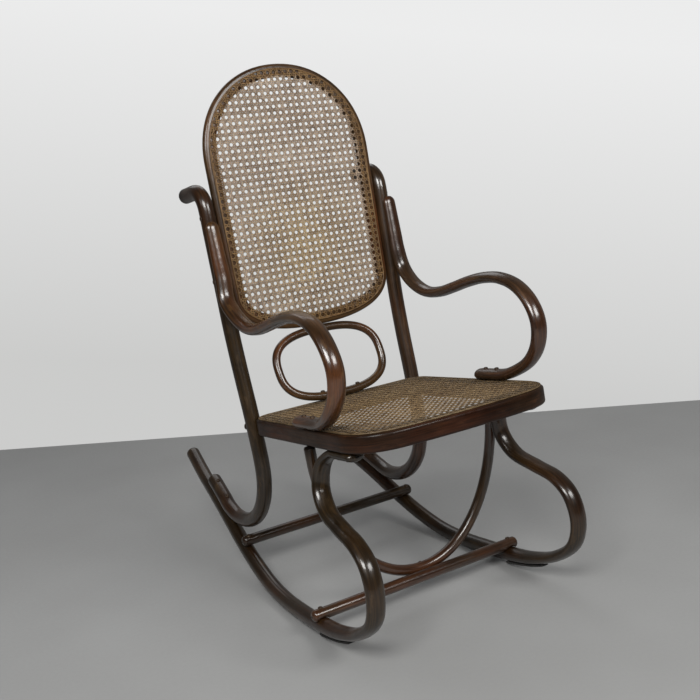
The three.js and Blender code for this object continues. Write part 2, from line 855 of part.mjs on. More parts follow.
function screwGeometry(diameter, headDiameter, headHeight, length) {
  return turned([
    [0, -length],
    [diameter / 2, diameter / 2 - length],
    [diameter / 2, touchGap],
    [headDiameter / 2, touchGap],
    [headDiameter / 3, touchGap + headHeight * screwHeadRimShare],
    [0, touchGap + headHeight],
  ]);
}

function asSolid(geometry, matrix) {
  const bare = geometry.clone();
  bare.deleteAttribute("normal");
  bare.deleteAttribute("uv");
  const merged = mergeVertices(bare).applyMatrix4(matrix);
  return new wasm.Manifold(new wasm.Mesh({
    numProp: 3,
    vertProperties: new Float32Array(merged.attributes.position.array),
    triVerts: new Uint32Array(merged.index.array),
  }));
}

function asGeometry(solid) {
  const mesh = solid.getMesh();
  const geometry = new THREE.BufferGeometry();
  geometry.setAttribute("position", new THREE.Float32BufferAttribute(mesh.vertProperties, 3));
  geometry.setIndex(new THREE.BufferAttribute(mesh.triVerts, 1));
  geometry.computeVertexNormals();
  return geometry;
}

// Bores a hole for a shank through or into a piece, along the fastener's own axis
function bore(piece, fastener, diameter, length) {
  const clear = diameter / 2 + touchGap;
  const top = boltHeadDiameter;
  const hole = turned([[0, -length - touchGap], [clear, -length - touchGap], [clear, top], [0, top]]);
  cut(piece, hole, fastener.matrixWorld);
}

// Takes a tool's shape, placed in the chair, out of a piece
function cut(piece, tool, toolPlace) {
  const place = piece.matrixWorld.clone().invert().multiply(toolPlace);
  const solid = asSolid(piece.geometry, new THREE.Matrix4());
  piece.geometry = asGeometry(solid.subtract(asSolid(tool, place)));
}

function fasten(name, at, outward, geometry) {
  const mesh = add(chair, name, geometry, steelFinish);
  mesh.position.copy(at);
  mesh.quaternion.setFromUnitVectors(vector(0, 0, 1), outward.clone().normalize());
  chair.updateMatrixWorld(true);
  return mesh;
}

function screwInto(name, at, outward, pieces, length = screwLength) {
  const geometry = screwGeometry(screwDiameter, screwHeadDiameter, screwHeadHeight, length);
  const screw = fasten(name, at, outward, geometry);
  pieces.forEach((piece) => bore(piece, screw, screwDiameter, length));
  return screw;
}

const seatRing = makeSeatRing();
const seatCane = makeSeatCane();
const backHoop = makeBackHoop();
makeBackCane();
const lowerRing = makeLowerRing();
chair.updateMatrixWorld(true);
const rockers = sides.map(makeRocker);
const uprights = sides.map((side, i) => makeUpright(side, rockers[i]));
const arms = sides.map((side, i) => makeArm(side, uprights[i]));
const frontStretcher = makeStretcher("front_stretcher", rockers, -frontStretcherDepth,
  frontStretcherLength, frontSaddleDepth);
const rearStretcher = makeStretcher("rear_stretcher", rockers, rearStretcherReach,
  rearStretcherLength, rearSaddleDepth);
const bow = makeBow(frontStretcher);
sides.forEach((side, i) => makeStrip(side, rockers[i]));

chair.updateMatrixWorld(true);

// The bow's tops are round tenons in the underside of the side rails
for (const side of sides) {
  const shoulder = bow.top.clone().setX(side.sign * bow.halfWidth);
  const rise = bow.rise.clone().multiplyScalar(tenonLength);
  const tenon = new THREE.LineCurve3(shoulder.clone().sub(rise), shoulder.clone().add(rise));
  const across = vector(1, 0, 0);
  const fit = tenonDiameter + 4 * touchGap;
  const overrun = bow.rise.clone().multiplyScalar(touchGap);
  const socket = new THREE.LineCurve3(tenon.v1, tenon.v2.clone().add(overrun));
  join(bow.mesh, sweep(tenon, () => oval(tenonDiameter, tenonDiameter, screwSides), across));
  cut(seatRing, sweep(socket, () => oval(fit, fit, screwSides), across), chair.matrixWorld);
}

function join(piece, tool) {
  const still = new THREE.Matrix4();
  piece.geometry = asGeometry(asSolid(piece.geometry, still).add(asSolid(tool, still)));
}

// Screws through the arm's foot, the leg's run and the upright's run
const seatUp = seat.localToWorld(vector(0, 0, 1)).sub(seat.position);
sides.forEach((side, i) => {
  const { name, sign } = side;
  armScrewDepths.forEach((depth, n) => {
    const at = armFoot(sign, depth).addScaledVector(seatUp, armThickness / 2);
    screwInto(`${name}_arm_foot_screw_${n + 1}`, at, seatUp, [arms[i].mesh, seatCane, seatRing]);
  });
  legScrewShares.forEach((share, n) => {
    const at = rockerRun(sign, share).addScaledVector(seatUp, -runThickness / 2);
    const down = seatUp.clone().negate();
    screwInto(`${name}_leg_screw_${n + 1}`, at, down, [rockers[i].mesh, seatRing]);
  });
  runScrewReaches.forEach((reach, n) => {
    const stand = rockerDiameter / 2 + uprightDiameter + stackGap;
    const { at, up } = besideRocker(rockers[i].path, reach, stand);
    screwInto(`${name}_upright_run_screw_${n + 1}`, at, up, [uprights[i].mesh, rockers[i].mesh],
      runScrewLength);
  });
});

// Screws from the side through the uprights into the hoop, and from behind into the arm's top
sides.forEach((side, i) => {
  const { name, sign } = side;
  const outward = vector(sign, 0, 0);
  const [from, to] = uprightStraightShares;
  hoopScrewShares.forEach((share, n) => {
    const at = pointAtHeight(uprights[i].path, onBack(0, 0, straightTop * share).z, from, to);
    at.addScaledVector(outward, uprightDiameter / 2);
    screwInto(`${name}_hoop_screw_${n + 1}`, at, outward, [uprights[i].mesh, backHoop],
      runScrewLength);
  });
  const behind = vector(-sign * Math.sin(armTurnOut), Math.cos(armTurnOut), 0);
  const height = armTopHeight - armTopLength * armTopScrewShare;
  const at = pointAtHeight(uprights[i].path, height, from, to);
  at.addScaledVector(behind, uprightDiameter / 2 / Math.cos(backLean));
  screwInto(`${name}_arm_top_screw`, at, behind, [uprights[i].mesh, arms[i].mesh],
    armTopScrewLength);
});

// Screws through the lower ring: up into the hoop and down into the seat's rear rail
const hoopUp = onBack(0, 0, 1).sub(back.position);
const ringTop = ringHead.clone().addScaledVector(hoopUp, -ringDiameter / 2);
screwInto("ring_top_screw", ringTop, hoopUp.clone().negate(), [lowerRing, backHoop],
  ringScrewLength);
sides.forEach(({ name, sign }) => {
  const angle = -Math.acos((2 * ringBottomScrewSpread / ringWidth) ** (ringPower / 2));
  const at = ringPoint(angle).addScaledVector(seatUp, ringDiameter / 2 + touchGap);
  at.setX(sign * ringBottomScrewSpread);
  screwInto(`${name}_ring_foot_screw`, at, seatUp, [lowerRing, seatCane, seatRing],
    ringScrewLength);
});

// Screws through the stretchers into the rockers
const stretchers = [["front", frontStretcher], ["rear", rearStretcher]];
for (const [place, stretcher] of stretchers) {
  sides.forEach(({ name }, i) => {
    const { up, at } = stretcher.seats[i];
    const head = at.clone().addScaledVector(up, stretcherDiameter / 2);
    screwInto(`${name}_${place}_stretcher_screw`, head, up, [stretcher.mesh, rockers[i].mesh]);
  });
}

// A screw through the bow into the front stretcher
const bowBehind = bow.bottom.clone().sub(frontStretcher.centre).setX(0).normalize();
screwInto("bow_screw", bow.bottom.clone().addScaledVector(bowBehind, bowDiameter / 2), bowBehind,
  [bow.mesh, frontStretcher.mesh]);

// Coach screws from behind through the uprights into the seat's rear corners
sides.forEach(({ name, sign }, i) => {
  const corner = onSeat(sign * (seatRearWidth / 2 - seatRearCornerRadius), seatRearCornerRadius,
    -railHeight / 2);
  const foot = uprightFoot.clone().setX(sign * uprightSeatSpread);
  const behind = foot.clone().sub(corner).normalize();
  const at = foot.clone().addScaledVector(behind, uprightDiameter / 2 + 2 * touchGap);
  const bolt = fasten(`${name}_seat_bolt`, at, behind,
    screwGeometry(boltDiameter, boltHeadDiameter, boltHeadHeight, boltLength));
  bore(uprights[i].mesh, bolt, boltDiameter, boltLength);
  bore(seatRing, bolt, boltDiameter, boltLength);
});

// The origin is the middle of the footprint, on the floor
const extent = new THREE.Box3().setFromObject(chair, true);
chair.position.y = -(extent.min.y + extent.max.y) / 2;
chair.position.z = -extent.min.z;
chair.updateMatrixWorld(true);

export default chair;
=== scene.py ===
"""Bentwood rocking chair: bent beech rods, a caned hoop for the back and a caned ring for the seat.

Sizes are in millimetres until a mesh is made. Paths are laid out with y = 0 at the rear edge of the
seat and z = 0 under the round rod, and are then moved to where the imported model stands.
"""

import math

import bmesh
import bpy
import numpy as np
from mathutils import Matrix, Vector


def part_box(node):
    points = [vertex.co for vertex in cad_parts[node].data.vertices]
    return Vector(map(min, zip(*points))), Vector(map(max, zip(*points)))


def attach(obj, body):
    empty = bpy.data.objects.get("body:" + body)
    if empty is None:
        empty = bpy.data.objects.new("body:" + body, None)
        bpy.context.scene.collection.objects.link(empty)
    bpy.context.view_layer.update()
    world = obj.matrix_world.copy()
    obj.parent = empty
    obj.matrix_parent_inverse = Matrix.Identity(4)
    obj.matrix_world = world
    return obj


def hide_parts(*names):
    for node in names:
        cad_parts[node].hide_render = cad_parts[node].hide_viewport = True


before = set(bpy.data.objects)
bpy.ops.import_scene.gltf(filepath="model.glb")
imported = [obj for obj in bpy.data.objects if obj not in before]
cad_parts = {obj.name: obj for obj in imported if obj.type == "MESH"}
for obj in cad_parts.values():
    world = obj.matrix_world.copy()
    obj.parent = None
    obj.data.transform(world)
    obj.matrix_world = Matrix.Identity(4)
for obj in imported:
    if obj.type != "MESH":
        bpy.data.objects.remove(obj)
scene = bpy.context.scene
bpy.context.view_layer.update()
rng = np.random.default_rng(seed=7)

MM = 0.001
SIDES = (("right", -1), ("left", 1))

# Fineness of the curves and meshes
curve_steps = 24
tangent_reach = 0.8
halvings = 40
rod_sides = 26
thin_rod_sides = 22
ring_sides = 20
ring_points = 64
strip_points = 7
bow_steps = 14
round_end_steps = 8
flat_end_steps = 5
scroll_steps = 4
least_rings = 8
rod_spacing = 6
fine_spacing = 5
finest_spacing = 4
saddle_spacing = 3

# Whole chair and seat
chair_height = 1052
touch_gap = 0.3
seat_front_height = 424
seat_depth = 457
seat_front_width = 430
seat_rear_width = 412
seat_front_bow = 18
seat_front_corner = 78
seat_rear_corner = 42
seat_inner_corner = 4
seat_slope = math.radians(7.2)
rail_height = 32
rail_thickness = 38
rail_round = 5
cane_thickness = 2
seat_cane_rim = 4
hoop_cane_rim = 9

# Back hoop and uprights
back_lean = math.radians(8.3)
back_setback = 14
hoop_upright_gap = 1.8
hoop_arch = 185
hoop_corner = 90
hoop_arch_power = 2.1
hoop_corner_power = 2.4
hoop_band = 27
hoop_thickness = 15
hoop_round = 6
rod = 31
rod_tip = rod / 3
upright_edge = 1.6
upright_top = 210
upright_low = 193
upright_seat_gap = 1.2
scroll_height = 475
scroll_radius = 39
scroll_reach = 89
j_front = 8
j_front_height = 250
j_bottom_height = 117
j_bottom_reach = 138
run_start = 195
stack_gap = 0.7
run_reach = 289
straight_shares = (0.12, 0.5)

# Rockers
contact_depth = 96
floor_flat = 1.2
tail_reach = 536
tail_rise = 169
loop_reach = 362
front_spread = 226
tail_spread = 165
leg_width = 36
leg_thickness = 22
run_thickness = 18
run_length = 93
run_flat = 1
rocker_floor_share = 0.64
tail_shares = ((1, 1), (0.85, 0.82), (0.7, 0.67), (0.55, 0.49), (0.41, 0.3), (0.27, 0.14),
               (0.13, 0.031), (0, 0))
loop_shares = ((0.2, 0.0095, 0), (0.41, 0.03, 0), (0.62, 0.068, 0), (0.82, 0.147, 0),
               (0.96, 0.265, 0), (0.995, 0.41, 0), (0.972, 0.55, 0.05), (0.896, 0.62, 0.1),
               (0.767, 0.655, 0.2), (0.59, 0.7, 0.35), (0.457, 0.79, 0.5), (0.397, 0.87, 0.65),
               (0.42, 0.945, 0.8))

# Arms
arm_width = 34
arm_thickness = 22
arm_top_drop = 37
arm_top_length = 100
arm_top_width = 28
arm_top_thickness = 15
arm_top_gap = 0.4
arm_turn_out = math.radians(12)
arm_reach = 442
arm_crest_spread = 212
arm_loop_spread = 218
arm_foot_front = 300
arm_foot_length = 72
arm_foot_inset = 4
arm_foot_flat = 1
arm_middle = ((0.068, 0.572, -0.3), (0.147, 0.484, -0.5), (0.251, 0.437, -0.5),
              (0.357, 0.447, -0.3), (0.46, 0.486, -0.1), (0.563, 0.53, 0.1), (0.672, 0.564, 0.3),
              (0.78, 0.572, 0.5), (0.88, 0.537, 0.8), (0.957, 0.455, 1), (1, 0.34, 1),
              (0.989, 0.21, 1), (0.93, 0.1, 0.8))

# Ring, stretchers, bow and strips
lower_ring_height = 152
ring_rod = 17
ring_width = 244
ring_power = 2.7
stretcher_rod = 23
stretcher_tip = stretcher_rod / 3
front_saddle = 7
rear_saddle = 0.6
saddle_gap = 0.75
front_stretcher_depth = 252
front_stretcher_length = 486
rear_stretcher_reach = 98
rear_stretcher_length = 434
bow_rod = 21
bow_edge = 0.8
bow_width = 410
bow_run_space = 46
bow_foot_offset = 22
bow_power = 2.05
strip_width = 16
strip_thickness = 4
strip_edge = 0.6
strip_rear = 246
strip_front = 352
strip_gap = 0.4


def vec(x, y, z):
    return np.array([x, y, z], float)


def unit(v):
    return v / np.linalg.norm(v)


class Path:
    """A centripetal Catmull-Rom curve through points, read by shares of its length."""

    def __init__(self, points, closed=False):
        p = np.array(points, float)
        self.closed = closed
        ends = (p[-1:], p[:2]) if closed else (2 * p[:1] - p[1:2], 2 * p[-1:] - p[-2:-1])
        all_points = np.vstack([ends[0], p, ends[1]])
        t = np.linspace(0, 1, curve_steps, endpoint=False)[:, None]
        rows = []
        for a, b, c, d in zip(all_points, all_points[1:], all_points[2:], all_points[3:]):
            d0, d1, d2 = (math.sqrt(np.linalg.norm(v)) for v in (b - a, c - b, d - c))
            t1 = ((b - a) / d0 - (c - a) / (d0 + d1) + (c - b) / d1) * d1
            t2 = ((c - b) / d1 - (d - b) / (d1 + d2) + (d - c) / d2) * d1
            rows.append(b + t1 * t + (3 * c - 3 * b - 2 * t1 - t2) * t**2
                        + (2 * b - 2 * c + t1 + t2) * t**3)
        rows.append(p[:1] if closed else p[-1:])
        self.points = np.vstack(rows)
        steps = np.linalg.norm(np.diff(self.points, axis=0), axis=1)
        self.reach = np.concatenate([[0], np.cumsum(steps)])
        self.length = self.reach[-1]

    def at(self, share):
        share = np.mod(share, 1) if self.closed else np.clip(share, 0, 1)
        s = np.asarray(share) * self.length
        return np.stack([np.interp(s, self.reach, self.points[:, k]) for k in range(3)], -1)

    def along(self, share):
        e = tangent_reach / self.length
        low, high = share - e, share + e
        if not self.closed:
            low, high = max(low, 0), min(high, 1)
        return unit(self.at(high) - self.at(low))


def line_path(a, b):
    return Path([a + (b - a) * s for s in (0, 1 / 3, 2 / 3, 1)])


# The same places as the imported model's
seat_rear_height = seat_front_height - seat_depth * math.sin(seat_slope)


def on_seat(x, depth, height):
    c, s = math.cos(seat_slope), math.sin(seat_slope)
    return vec(x, -depth * c + height * s, seat_rear_height + depth * s + height * c)


seat_up = vec(0, math.sin(seat_slope), math.cos(seat_slope))


def upright_spread_at(z):
    return upright_low + (upright_top - upright_low) * (z - j_front_height) / (chair_height - j_front_height)


seat_spread = upright_spread_at(seat_rear_height)
corner_reach = seat_rear_corner + rod / 2 + upright_seat_gap
corner_offset = seat_spread - (seat_rear_width / 2 - seat_rear_corner)
upright_seat_y = math.sqrt(corner_reach**2 - corner_offset**2) - seat_rear_corner
upright_foot = on_seat(0, -upright_seat_y, -rail_height / 2)
back_foot = upright_foot + vec(0, back_setback, 0)


def on_back(x, depth, height):
    c, s = math.cos(back_lean), math.sin(back_lean)
    return vec(x, back_foot[1] + depth * c + height * s, back_foot[2] - depth * s + height * c)


def back_height(z):
    return (z - back_foot[2]) / math.cos(back_lean)


hoop_top = back_height(chair_height)
hoop_bottom = back_height(seat_rear_height) + lower_ring_height
straight_top = scroll_height - scroll_radius
run_front = seat_depth - seat_front_corner


def seat_half_width(depth):
    return (seat_rear_width + (seat_front_width - seat_rear_width) * depth / seat_depth) / 2


def bend_between(a, b, c, steps):
    t = np.linspace(0, 1, steps)[:, None]
    a, b, c = (np.array(p, float) for p in (a, b, c))
    return (1 - t) ** 2 * a + 2 * t * (1 - t) * b + t**2 * c


def seat_outline(inset, steps=24):
    """The seat's outline in its own plane as x and y = -depth, moved in by an inset."""
    rear, front = seat_rear_width / 2, seat_front_width / 2
    front_side = seat_depth - seat_front_bow - seat_front_corner
    corner_x = front - seat_front_corner
    corner_y = seat_depth - seat_front_bow * (corner_x / front) ** 2
    radius = max(seat_rear_corner - inset, seat_inner_corner)
    turn = rear - inset - radius
    angles = np.linspace(math.pi / 2, 0, steps)
    arc = np.stack([turn + radius * np.cos(angles), -inset - radius + radius * np.sin(angles)], 1)
    side_end = (seat_half_width(front_side) - inset, -front_side)
    corner = bend_between(side_end, (front - inset, inset - seat_depth + seat_front_bow),
                          (corner_x, inset - corner_y), steps)
    nose = bend_between((corner_x, inset - corner_y), (corner_x / 2, inset - seat_depth),
                        (0, inset - seat_depth), steps)
    half = np.vstack([[(0, -inset)], arc, corner, nose])
    return mirrored(half)


def mirrored(half):
    """A closed outline from its right half, without points closer than the touch gap."""
    keep = [half[0]]
    for p in half[1:]:
        if np.linalg.norm(p - keep[-1]) > touch_gap:
            keep.append(p)
    half = np.array(keep)
    other = half[1:-1][::-1] * (-1, 1)
    return np.vstack([half, other])


def hoop_outline(inset, steps=26):
    """The hoop's outline in the plane of the back as x and height, moved in by an inset."""

    def quarter(half_width, height, power):
        a = np.linspace(0, math.pi / 2, steps)
        return np.stack([(half_width - inset) * np.sin(a) ** (2 / power),
                         (height - inset) * (1 - np.maximum(np.cos(a), 0) ** (2 / power))], 1)

    def beside(height):
        return upright_spread_at(on_back(0, 0, height)[2]) - rod / 2 - hoop_upright_gap

    arch = quarter(beside(hoop_top - hoop_arch), hoop_arch, hoop_arch_power)
    foot = quarter(beside(hoop_bottom + hoop_corner), hoop_corner, hoop_corner_power)[::-1]
    half = np.vstack([np.stack([arch[:, 0], hoop_top - inset - arch[:, 1]], 1),
                      np.stack([foot[:, 0], hoop_bottom + inset + foot[:, 1]], 1)])
    return mirrored(half)


def rocker_run(sign, share_from_end):
    depth = run_front - run_length * share_from_end
    x = sign * (seat_half_width(depth) - rail_thickness / 2)
    return on_seat(x, depth, -rail_height - touch_gap + run_flat - run_thickness / 2)


def rocker_path(sign):
    whole = tail_reach + loop_reach
    points = []
    for reach, rise in tail_shares:
        inward = ((reach * tail_reach + loop_reach) / whole) ** 2
        spread = front_spread + (tail_spread - front_spread) * inward
        points.append(vec(sign * spread, reach * tail_reach - contact_depth, rod / 2 + rise * tail_rise))
    contact = (loop_reach / whole) ** 2
    bend = rocker_run(sign, 1)
    leg_rise = bend[2] - rod / 2
    for reach, rise, to_rail in loop_shares:
        inward = contact * (1 - min(1, reach)) ** 2
        spread = front_spread + (tail_spread - front_spread) * inward
        x = spread + (abs(bend[0]) - spread) * to_rail
        front = -contact_depth - reach * loop_reach
        points.append(vec(sign * x, front + (bend[1] - front) * to_rail, rod / 2 + rise * leg_rise))
    points += [rocker_run(sign, share) for share in (0.75, 0.5, 0.25, 0)]
    return Path(points)


def point_at(path, value, axis, low, high):
    """The place between two shares where a path reaches a y (axis 1) or z (axis 2)."""
    rising = path.at(high)[axis] > path.at(low)[axis]
    for _ in range(halvings):
        middle = (low + high) / 2
        if (path.at(middle)[axis] < value) == rising:
            low = middle
        else:
            high = middle
    return path.at(low), path.along(low), low


def beside_rocker(path, y, distance):
    """A place over or under a rocker, its upward way there, and the rocker's own place and direction."""
    foot, along, _ = point_at(path, y, 1, 0, rocker_floor_share)
    across = unit(vec(1, 0, 0) - along * along[0])
    up = np.cross(along, across)
    up = up * np.sign(up[2])
    return foot + up * distance, up, foot, along


def upright_path(sign, rocker):
    points = [on_back(0, scroll_reach * share, scroll_height) for share in (1, 0.75)]
    for i in range(scroll_steps + 1):
        a = math.pi / 2 * i / scroll_steps
        points.append(on_back(0, scroll_radius * (1 - math.sin(a)),
                              scroll_height - scroll_radius * (1 - math.cos(a))))
    points += [on_back(0, 0, straight_top * share) for share in (0.9, 0.75, 0.6, 0.45)]
    points += [on_back(0, -back_setback * setback, straight_top * share)
               for share, setback in ((0.27, 0.3), (0, 1))]
    for p in points:
        p[0] = sign * upright_spread_at(p[2])
    stack = rod + stack_gap
    start = beside_rocker(rocker, run_start, stack)[0]
    for share in (0, 0.25, 0.5, 0.75, 1):
        a = math.pi / 2 * share
        points.append(vec(sign * upright_low + (start[0] - sign * upright_low) * share,
                          j_bottom_reach - (j_bottom_reach + j_front) * math.cos(a),
                          j_front_height + (j_bottom_height - j_front_height) * math.sin(a)))
    for share in (0, 0.35, 0.7, 1):
        points.append(beside_rocker(rocker, run_start + (run_reach - run_start) * share, stack)[0])
    return Path(points)


foot_top = touch_gap + cane_thickness + touch_gap
arm_top_height = on_back(0, 0, straight_top)[2] - arm_top_drop


def arm_foot(sign, depth):
    x = sign * (seat_half_width(depth) - arm_foot_inset)
    return on_seat(x, depth, foot_top + arm_thickness / 2 - arm_foot_flat)


def arm_path(sign, upright):
    points = []
    outward = vec(sign * math.sin(arm_turn_out), -math.cos(arm_turn_out), 0)
    for share in (0, 0.35, 0.7, 1):
        thickness = arm_top_thickness + (arm_thickness - arm_top_thickness) * share
        at = point_at(upright, arm_top_height - arm_top_length * share, 2, *straight_shares)[0]
        points.append(at + outward * ((rod + thickness) / 2 + arm_top_gap))
    top, foot = points[0], arm_foot(sign, arm_foot_front)
    for forward, height, to_loop in arm_middle:
        x = arm_crest_spread + (arm_loop_spread - arm_crest_spread) * to_loop
        points.append(vec(sign * x, top[1] - forward * arm_reach, foot[2] + height * (top[2] - foot[2])))
    for share in (-0.25, 0.15, 0.5, 0.75, 1):
        p = arm_foot(sign, arm_foot_front - arm_foot_length * share)
        points.append(p + vec(0, 0, arm_thickness / 2 * max(0, 0.15 - share)))
    return Path(points)


ring_foot = on_seat(0, rail_thickness / 2, foot_top + ring_rod / 2)
ring_head = on_back(0, 0, hoop_bottom - touch_gap - ring_rod / 2)


def ring_point(angle):
    def bulge(value):
        return np.sign(value) * abs(value) ** (2 / ring_power)
    p = (ring_foot + ring_head) / 2 + (ring_head - ring_foot) / 2 * bulge(math.sin(angle))
    p[0] = ring_width / 2 * bulge(math.cos(angle))
    return p


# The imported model's place in its own frame, from the cane sheet's rear edge
shift = vec(0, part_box("seat_cane")[1].y / MM
            - on_seat(0, seat_cane_rim, touch_gap + cane_thickness)[1], -floor_flat)


# Sections and meshes
def oval(width, thickness, count=rod_sides):
    a = np.linspace(0, 2 * math.pi, count, endpoint=False)
    return np.stack([width / 2 * np.cos(a), thickness / 2 * np.sin(a)], 1)


def rounded_bar(width, thickness, radius, steps=5):
    points = []
    for corner, (right, top) in enumerate(((1, 1), (-1, 1), (-1, -1), (1, -1))):
        for i in range(steps + 1):
            a = math.pi / 2 * (corner + i / steps)
            points.append((right * (width / 2 - radius) + radius * math.cos(a),
                           top * (thickness / 2 - radius) + radius * math.sin(a)))
    return np.array(points)


def blend_rows(rows, share):
    """The values at a share, between rows that each start with their own."""
    rows = np.array(rows, float)
    return [np.interp(share, rows[:, 0], rows[:, k]) for k in range(1, rows.shape[1])]


def end_rows(style, size):
    """Rows past a rod's end: how far out each lies and how much of the section it keeps."""
    if style == "round":
        angles = np.linspace(0, math.pi / 2, round_end_steps)[1:-1]
        return 0, [(size * math.sin(a), math.cos(a)) for a in angles], size
    angles = np.linspace(0, math.pi / 2, flat_end_steps)[1:]
    return size, [(-size + size * math.sin(a), 1 - end_taper * (1 - math.cos(a))) for a in angles], 0


# A flat end's broken edge, how dark dirt and painted shade make a rod there, and how far that reaches
FLAT_END = ("flat", 1.5)
end_taper = 0.12
end_dirt_and_shade = 0.8
end_dirt_and_shade_reach = 30


def sweep(path, section, across, ends=(FLAT_END, FLAT_END), spacing=rod_spacing, reshape=None):
    """Points, faces and corner values of a rod along a path: its grain, then 1 where it is cut across.

    The section is an outline or a function of the share. Near a flat end the last value rises too, as dirt
    and painted shade darken a rod there.
    """
    first, first_rows, first_tip = end_rows(*ends[0])
    last, last_rows, last_tip = end_rows(*ends[1])
    count = max(least_rings, round(path.length / spacing))
    if path.closed:
        shares = np.linspace(0, 1, count, endpoint=False)
    else:
        shares = np.linspace(first / path.length, 1 - last / path.length, count)
    rings = []

    def ring(share, offset, scale):
        along = path.along(share)
        side = unit(across - along * across.dot(along))
        normal = np.cross(along, side)
        outline = (section(share) if callable(section) else section) * scale
        centre = path.at(share) + along * offset
        rings.append((centre + outline[:, :1] * side + outline[:, 1:] * normal,
                      share * path.length + offset, outline))

    if not path.closed:
        for offset, scale in reversed(first_rows):
            ring(0, -offset, scale)
    for share in shares:
        ring(share, 0, 1)
    if not path.closed:
        for offset, scale in last_rows:
            ring(1, offset, scale)
    m = len(rings[0][0])
    points = np.vstack([r[0] for r in rings])
    grain = np.vstack([np.column_stack([np.full(m, r[1]), r[2]]) for r in rings])
    n = len(rings)
    bands = n if path.closed else n - 1
    here = (np.arange(bands) * m)[:, None] + np.arange(m)
    over = (np.arange(bands) * m)[:, None] + (np.arange(m) + 1) % m
    nxt, nxt_over = (here + m) % (n * m), (over + m) % (n * m)
    quads = np.stack([here, over, nxt_over, nxt], 2).reshape(-1, 4)
    corner = grain[quads]
    if path.closed:
        corner[-m:, 2:, 0] = path.length
    faces = quads.tolist()
    corners = corner.reshape(-1, 3)
    if not path.closed:
        tips = np.array([path.at(0) - path.along(0) * first_tip, path.at(1) + path.along(1) * last_tip])
        base = len(points)
        points = np.vstack([points, tips])
        fans, fan_grain = [], []
        for tip, start, share, flip in ((base, 0, 0, False), (base + 1, (n - 1) * m, path.length, True)):
            for i in range(m):
                j = (i + 1) % m
                row = [tip, start + j, start + i]
                values = [(share, 0, 0), grain[start + j], grain[start + i]]
                if flip:
                    row, values = row[::-1], values[::-1]
                fans.append(row)
                fan_grain += values
        faces += fans
        corners = np.vstack([corners, fan_grain])
    cut = np.zeros((len(corners), 3))
    cut[len(quads) * 4:, 0] = 1
    along = corners[:len(quads) * 4, 0]
    for (style, _), away in zip(ends, (along, path.length - along)):
        if style == "flat" and not path.closed:
            # The stretch by a flat end is darkened toward the cut colour: dirt and painted shade
            dirt_and_shade = end_dirt_and_shade * np.clip(1 - away / end_dirt_and_shade_reach, 0, 1)
            cut[:len(along), 0] = np.maximum(cut[:len(along), 0], dirt_and_shade)
    if reshape is not None:
        points = reshape(points)
    return points, faces, np.hstack([corners, cut])


def add_object(name, data):
    obj = bpy.data.objects.new(name, data)
    scene.collection.objects.link(obj)
    return obj


def add_piece(name, mesh, nodes):
    obj = add_object(name, mesh)
    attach(obj, "root")
    if nodes:
        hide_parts(*nodes)


def make_piece(name, shape, material, nodes, phase=0.0):
    """A named piece from points, faces and corner values, with its faces turned outward."""
    points, faces, corners = shape
    mesh = bpy.data.meshes.new(name)
    mesh.from_pydata(((points + shift) * MM).tolist(), [], faces)
    bm = bmesh.new()
    bm.from_mesh(mesh)
    if bm.calc_volume(signed=True) < 0:
        mesh.flip_normals()
        flipped, at = [], 0
        for face in faces:
            block = corners[at:at + len(face)]
            flipped.append(np.vstack([block[:1], block[1:][::-1]]))
            at += len(face)
        corners = np.vstack(flipped)
    bm.free()
    for layer, values in (("grain", corners[:, :3] * MM + (phase, 0, 0)), ("place", corners[:, 3:])):
        data = mesh.attributes.new(layer, "FLOAT_VECTOR", "CORNER")
        data.data.foreach_set("vector", values.astype(np.float32).ravel())
    mesh.shade_smooth()
    mesh.materials.append(material)
    add_piece(name, mesh, nodes)


# Materials
class Nodes:
    """Short calls that add and link nodes, in a new material or in a given tree."""

    def __init__(self, name, tree=None):
        if tree is None:
            self.material = bpy.data.materials.new(name)
            self.material.use_nodes = True
            tree = self.material.node_tree
        self.tree = tree
        self.shader = tree.nodes.get("Principled BSDF")

    def add(self, kind, inputs=(), **settings):
        node = self.tree.nodes.new(kind)
        for key, value in settings.items():
            setattr(node, key, value)
        for key, value in dict(inputs).items():
            self.put(node, key, value)
        return node

    def put(self, node, key, value):
        if isinstance(value, bpy.types.NodeSocket):
            self.tree.links.new(value, node.inputs[key])
        else:
            node.inputs[key].default_value = value

    def math(self, operation, a, b):
        return self.add("ShaderNodeMath", {0: a, 1: b}, operation=operation).outputs[0]

    def vector_math(self, operation, a, b):
        return self.add("ShaderNodeVectorMath", {0: a, 1: b}, operation=operation).outputs["Value"]

    def attribute(self, name):
        return self.add("ShaderNodeAttribute", attribute_name=name).outputs["Vector"]

    def position(self):
        return self.add("ShaderNodeNewGeometry").outputs["Position"]

    def noise(self, vector, scale, detail, rough=0.5):
        return self.add("ShaderNodeTexNoise", {"Vector": vector, "Scale": scale, "Detail": detail,
                                               "Roughness": rough}).outputs[0]

    def bump(self, strength, distance, relief):
        return self.add("ShaderNodeBump", {"Strength": strength, "Distance": distance,
                                           "Height": relief}).outputs[0]

    def ramp(self, value, stops):
        """A ramp between colours or plain numbers."""
        node = self.add("ShaderNodeValToRGB", {0: value})
        elements = node.color_ramp.elements
        while len(elements) < len(stops):
            elements.new(0.5)
        for element, (at, color) in zip(elements, stops):
            element.position = at
            element.color = (*(color if isinstance(color, tuple) else (color,) * 3), 1)
        return node.outputs[0]

    def mix(self, factor, a, b, blend_type="MIX"):
        a, b = ((*color, 1) if isinstance(color, tuple) else color for color in (a, b))
        return self.add("ShaderNodeMix", {0: factor, 6: a, 7: b}, data_type="RGBA",
                        blend_type=blend_type).outputs[2]

    def tint(self, tone, value, stops):
        """A tone multiplied by a ramp of another value."""
        return self.mix(1.0, tone, self.ramp(value, stops), "MULTIPLY")

    def surface(self, values):
        for key, value in values.items():
            self.put(self.shader, key, value)
        return self.material


